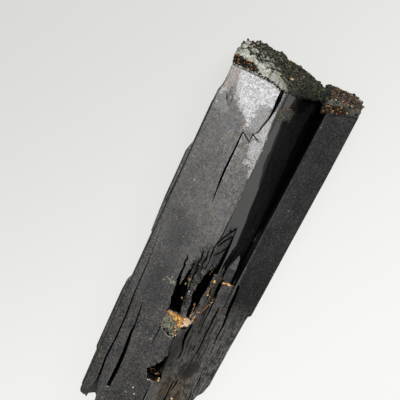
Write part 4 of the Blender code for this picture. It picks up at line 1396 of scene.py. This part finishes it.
traceSeed = 41
traces = dict(
    ledgeLine=([(4.7, -3.7), (6.1, -3.1), (7.5, -2.8)], 0.06, 0.34, 0.03, brightPalette),
    slotLine=([(0.7, -11.3), (1.05, -12.2), (1.1, -13.6), (1.1, -15.2)], 0.12, 0.34, 0.05, dullPalette),
    slotRim=([(2.3, -14.2), (2.1, -15.3), (2.2, -16.1)], 0.12, 0.34, 0.06, brightPalette),
    slotCorner=([(2.2, -1.6), (1.5, -1.9)], 0.14, 0.3, 0.08, rustPalette),
    slotDash=([(1.9, -2), (1.4, -3.1), (1.2, -4.3)], 0.12, 0.26, 0.05, brightPalette),
    slotSide=(
        [(3, -4.2), (2.7, -5.4), (2.7, -6.8), (3.1, -7.9), (3.7, -8)],
        0.16, 0.32, 0.14, dullPalette,
    ),
    bigDot=([(2.9, -3.3), (3.2, -3.5)], 0.06, 0.42, 0.12, brightPalette),
    chain=(
        [(2.5, -13), (3.4, -12.6), (3.9, -11.7), (4.4, -10.8), (4.8, -9.6), (4.9, -8.4)],
        0.2, 0.36, 0.12, dullPalette,
    ),
    ribDash=([(-3.2, -7.7), (-3.8, -6.8)], 0.1, 0.34, 0.06, brightPalette),
    ribBit=([(-3.4, -5.2), (-2.9, -5)], 0.14, 0.34, 0.1, dullPalette),
    ribLowBits=([(-3.4, -10.6), (-2.5, -11.8)], 0.45, 0.34, 0.06, dullPalette),
    ribWhite=([(-2.05, -8.3), (-1.95, -8.3)], 0.05, 0.36, 0.04, whitePalette),
    vugRim=(
        [(-2.4, -33.8), (-1.8, -33.3), (-1.1, -33.3), (-0.3, -33.7), (0.4, -34.1)],
        0.16, 0.3, 0.06, dullPalette,
    ),
    vugFoot=([(-1.8, -34.5), (-1.2, -35), (-0.5, -35.2)], 0.2, 0.3, 0.08, dullPalette),
    vugSide=([(-2.9, -31.6), (-2.8, -33)], 0.25, 0.3, 0.1, rustPalette),
    vugDot=([(0.7, -34.5), (0.8, -34.7)], 0.08, 0.36, 0.05, brightPalette),
    facetLine=([(-0.8, 46.6), (0.9, 47.3), (2, 47.4)], 0.14, 0.24, 0.03, rustPalette),
    facetBumps=(
        [(-0.9, 45.2), (0.3, 45.7), (0.8, 44.5), (-0.3, 43.8)],
        0.2, 0.34, 0.22, darkGreenPalette,
    ),
    orangeSpot=([(6.3, -39.3), (6.5, -39.3)], 0.07, 0.4, 0.06, brightPalette),
    whiteSpots=([(-5.5, -37), (-4.4, -39.5), (-3.4, -40.9)], 2.4, 0.42, 0, whitePalette),
    faceSpot=([(-8.8, -6.6), (-8.1, -6.7)], 0.4, 0.3, 0.06, tanPalette),
    slotBridge=([(-6.2, -6.9), (-5.5, -7.1)], 0.25, 0.4, 0.08, palePalette),
)


def buildTraces():
    rng = random.Random(traceSeed)
    bm = bmesh.new()
    layer = bm.verts.layers.float_color.new("tint")
    for path, step, size, scatter, palette in traces.values():
        addTrail(bm, layer, crystalTree, path, step, size, scatter, palette, rng)
    return bm


tracePiece = asPiece(buildTraces(), "ochreTraces", [], ochreMaterial)
print("traces ready", len(tracePiece.data.polygons), "faces")
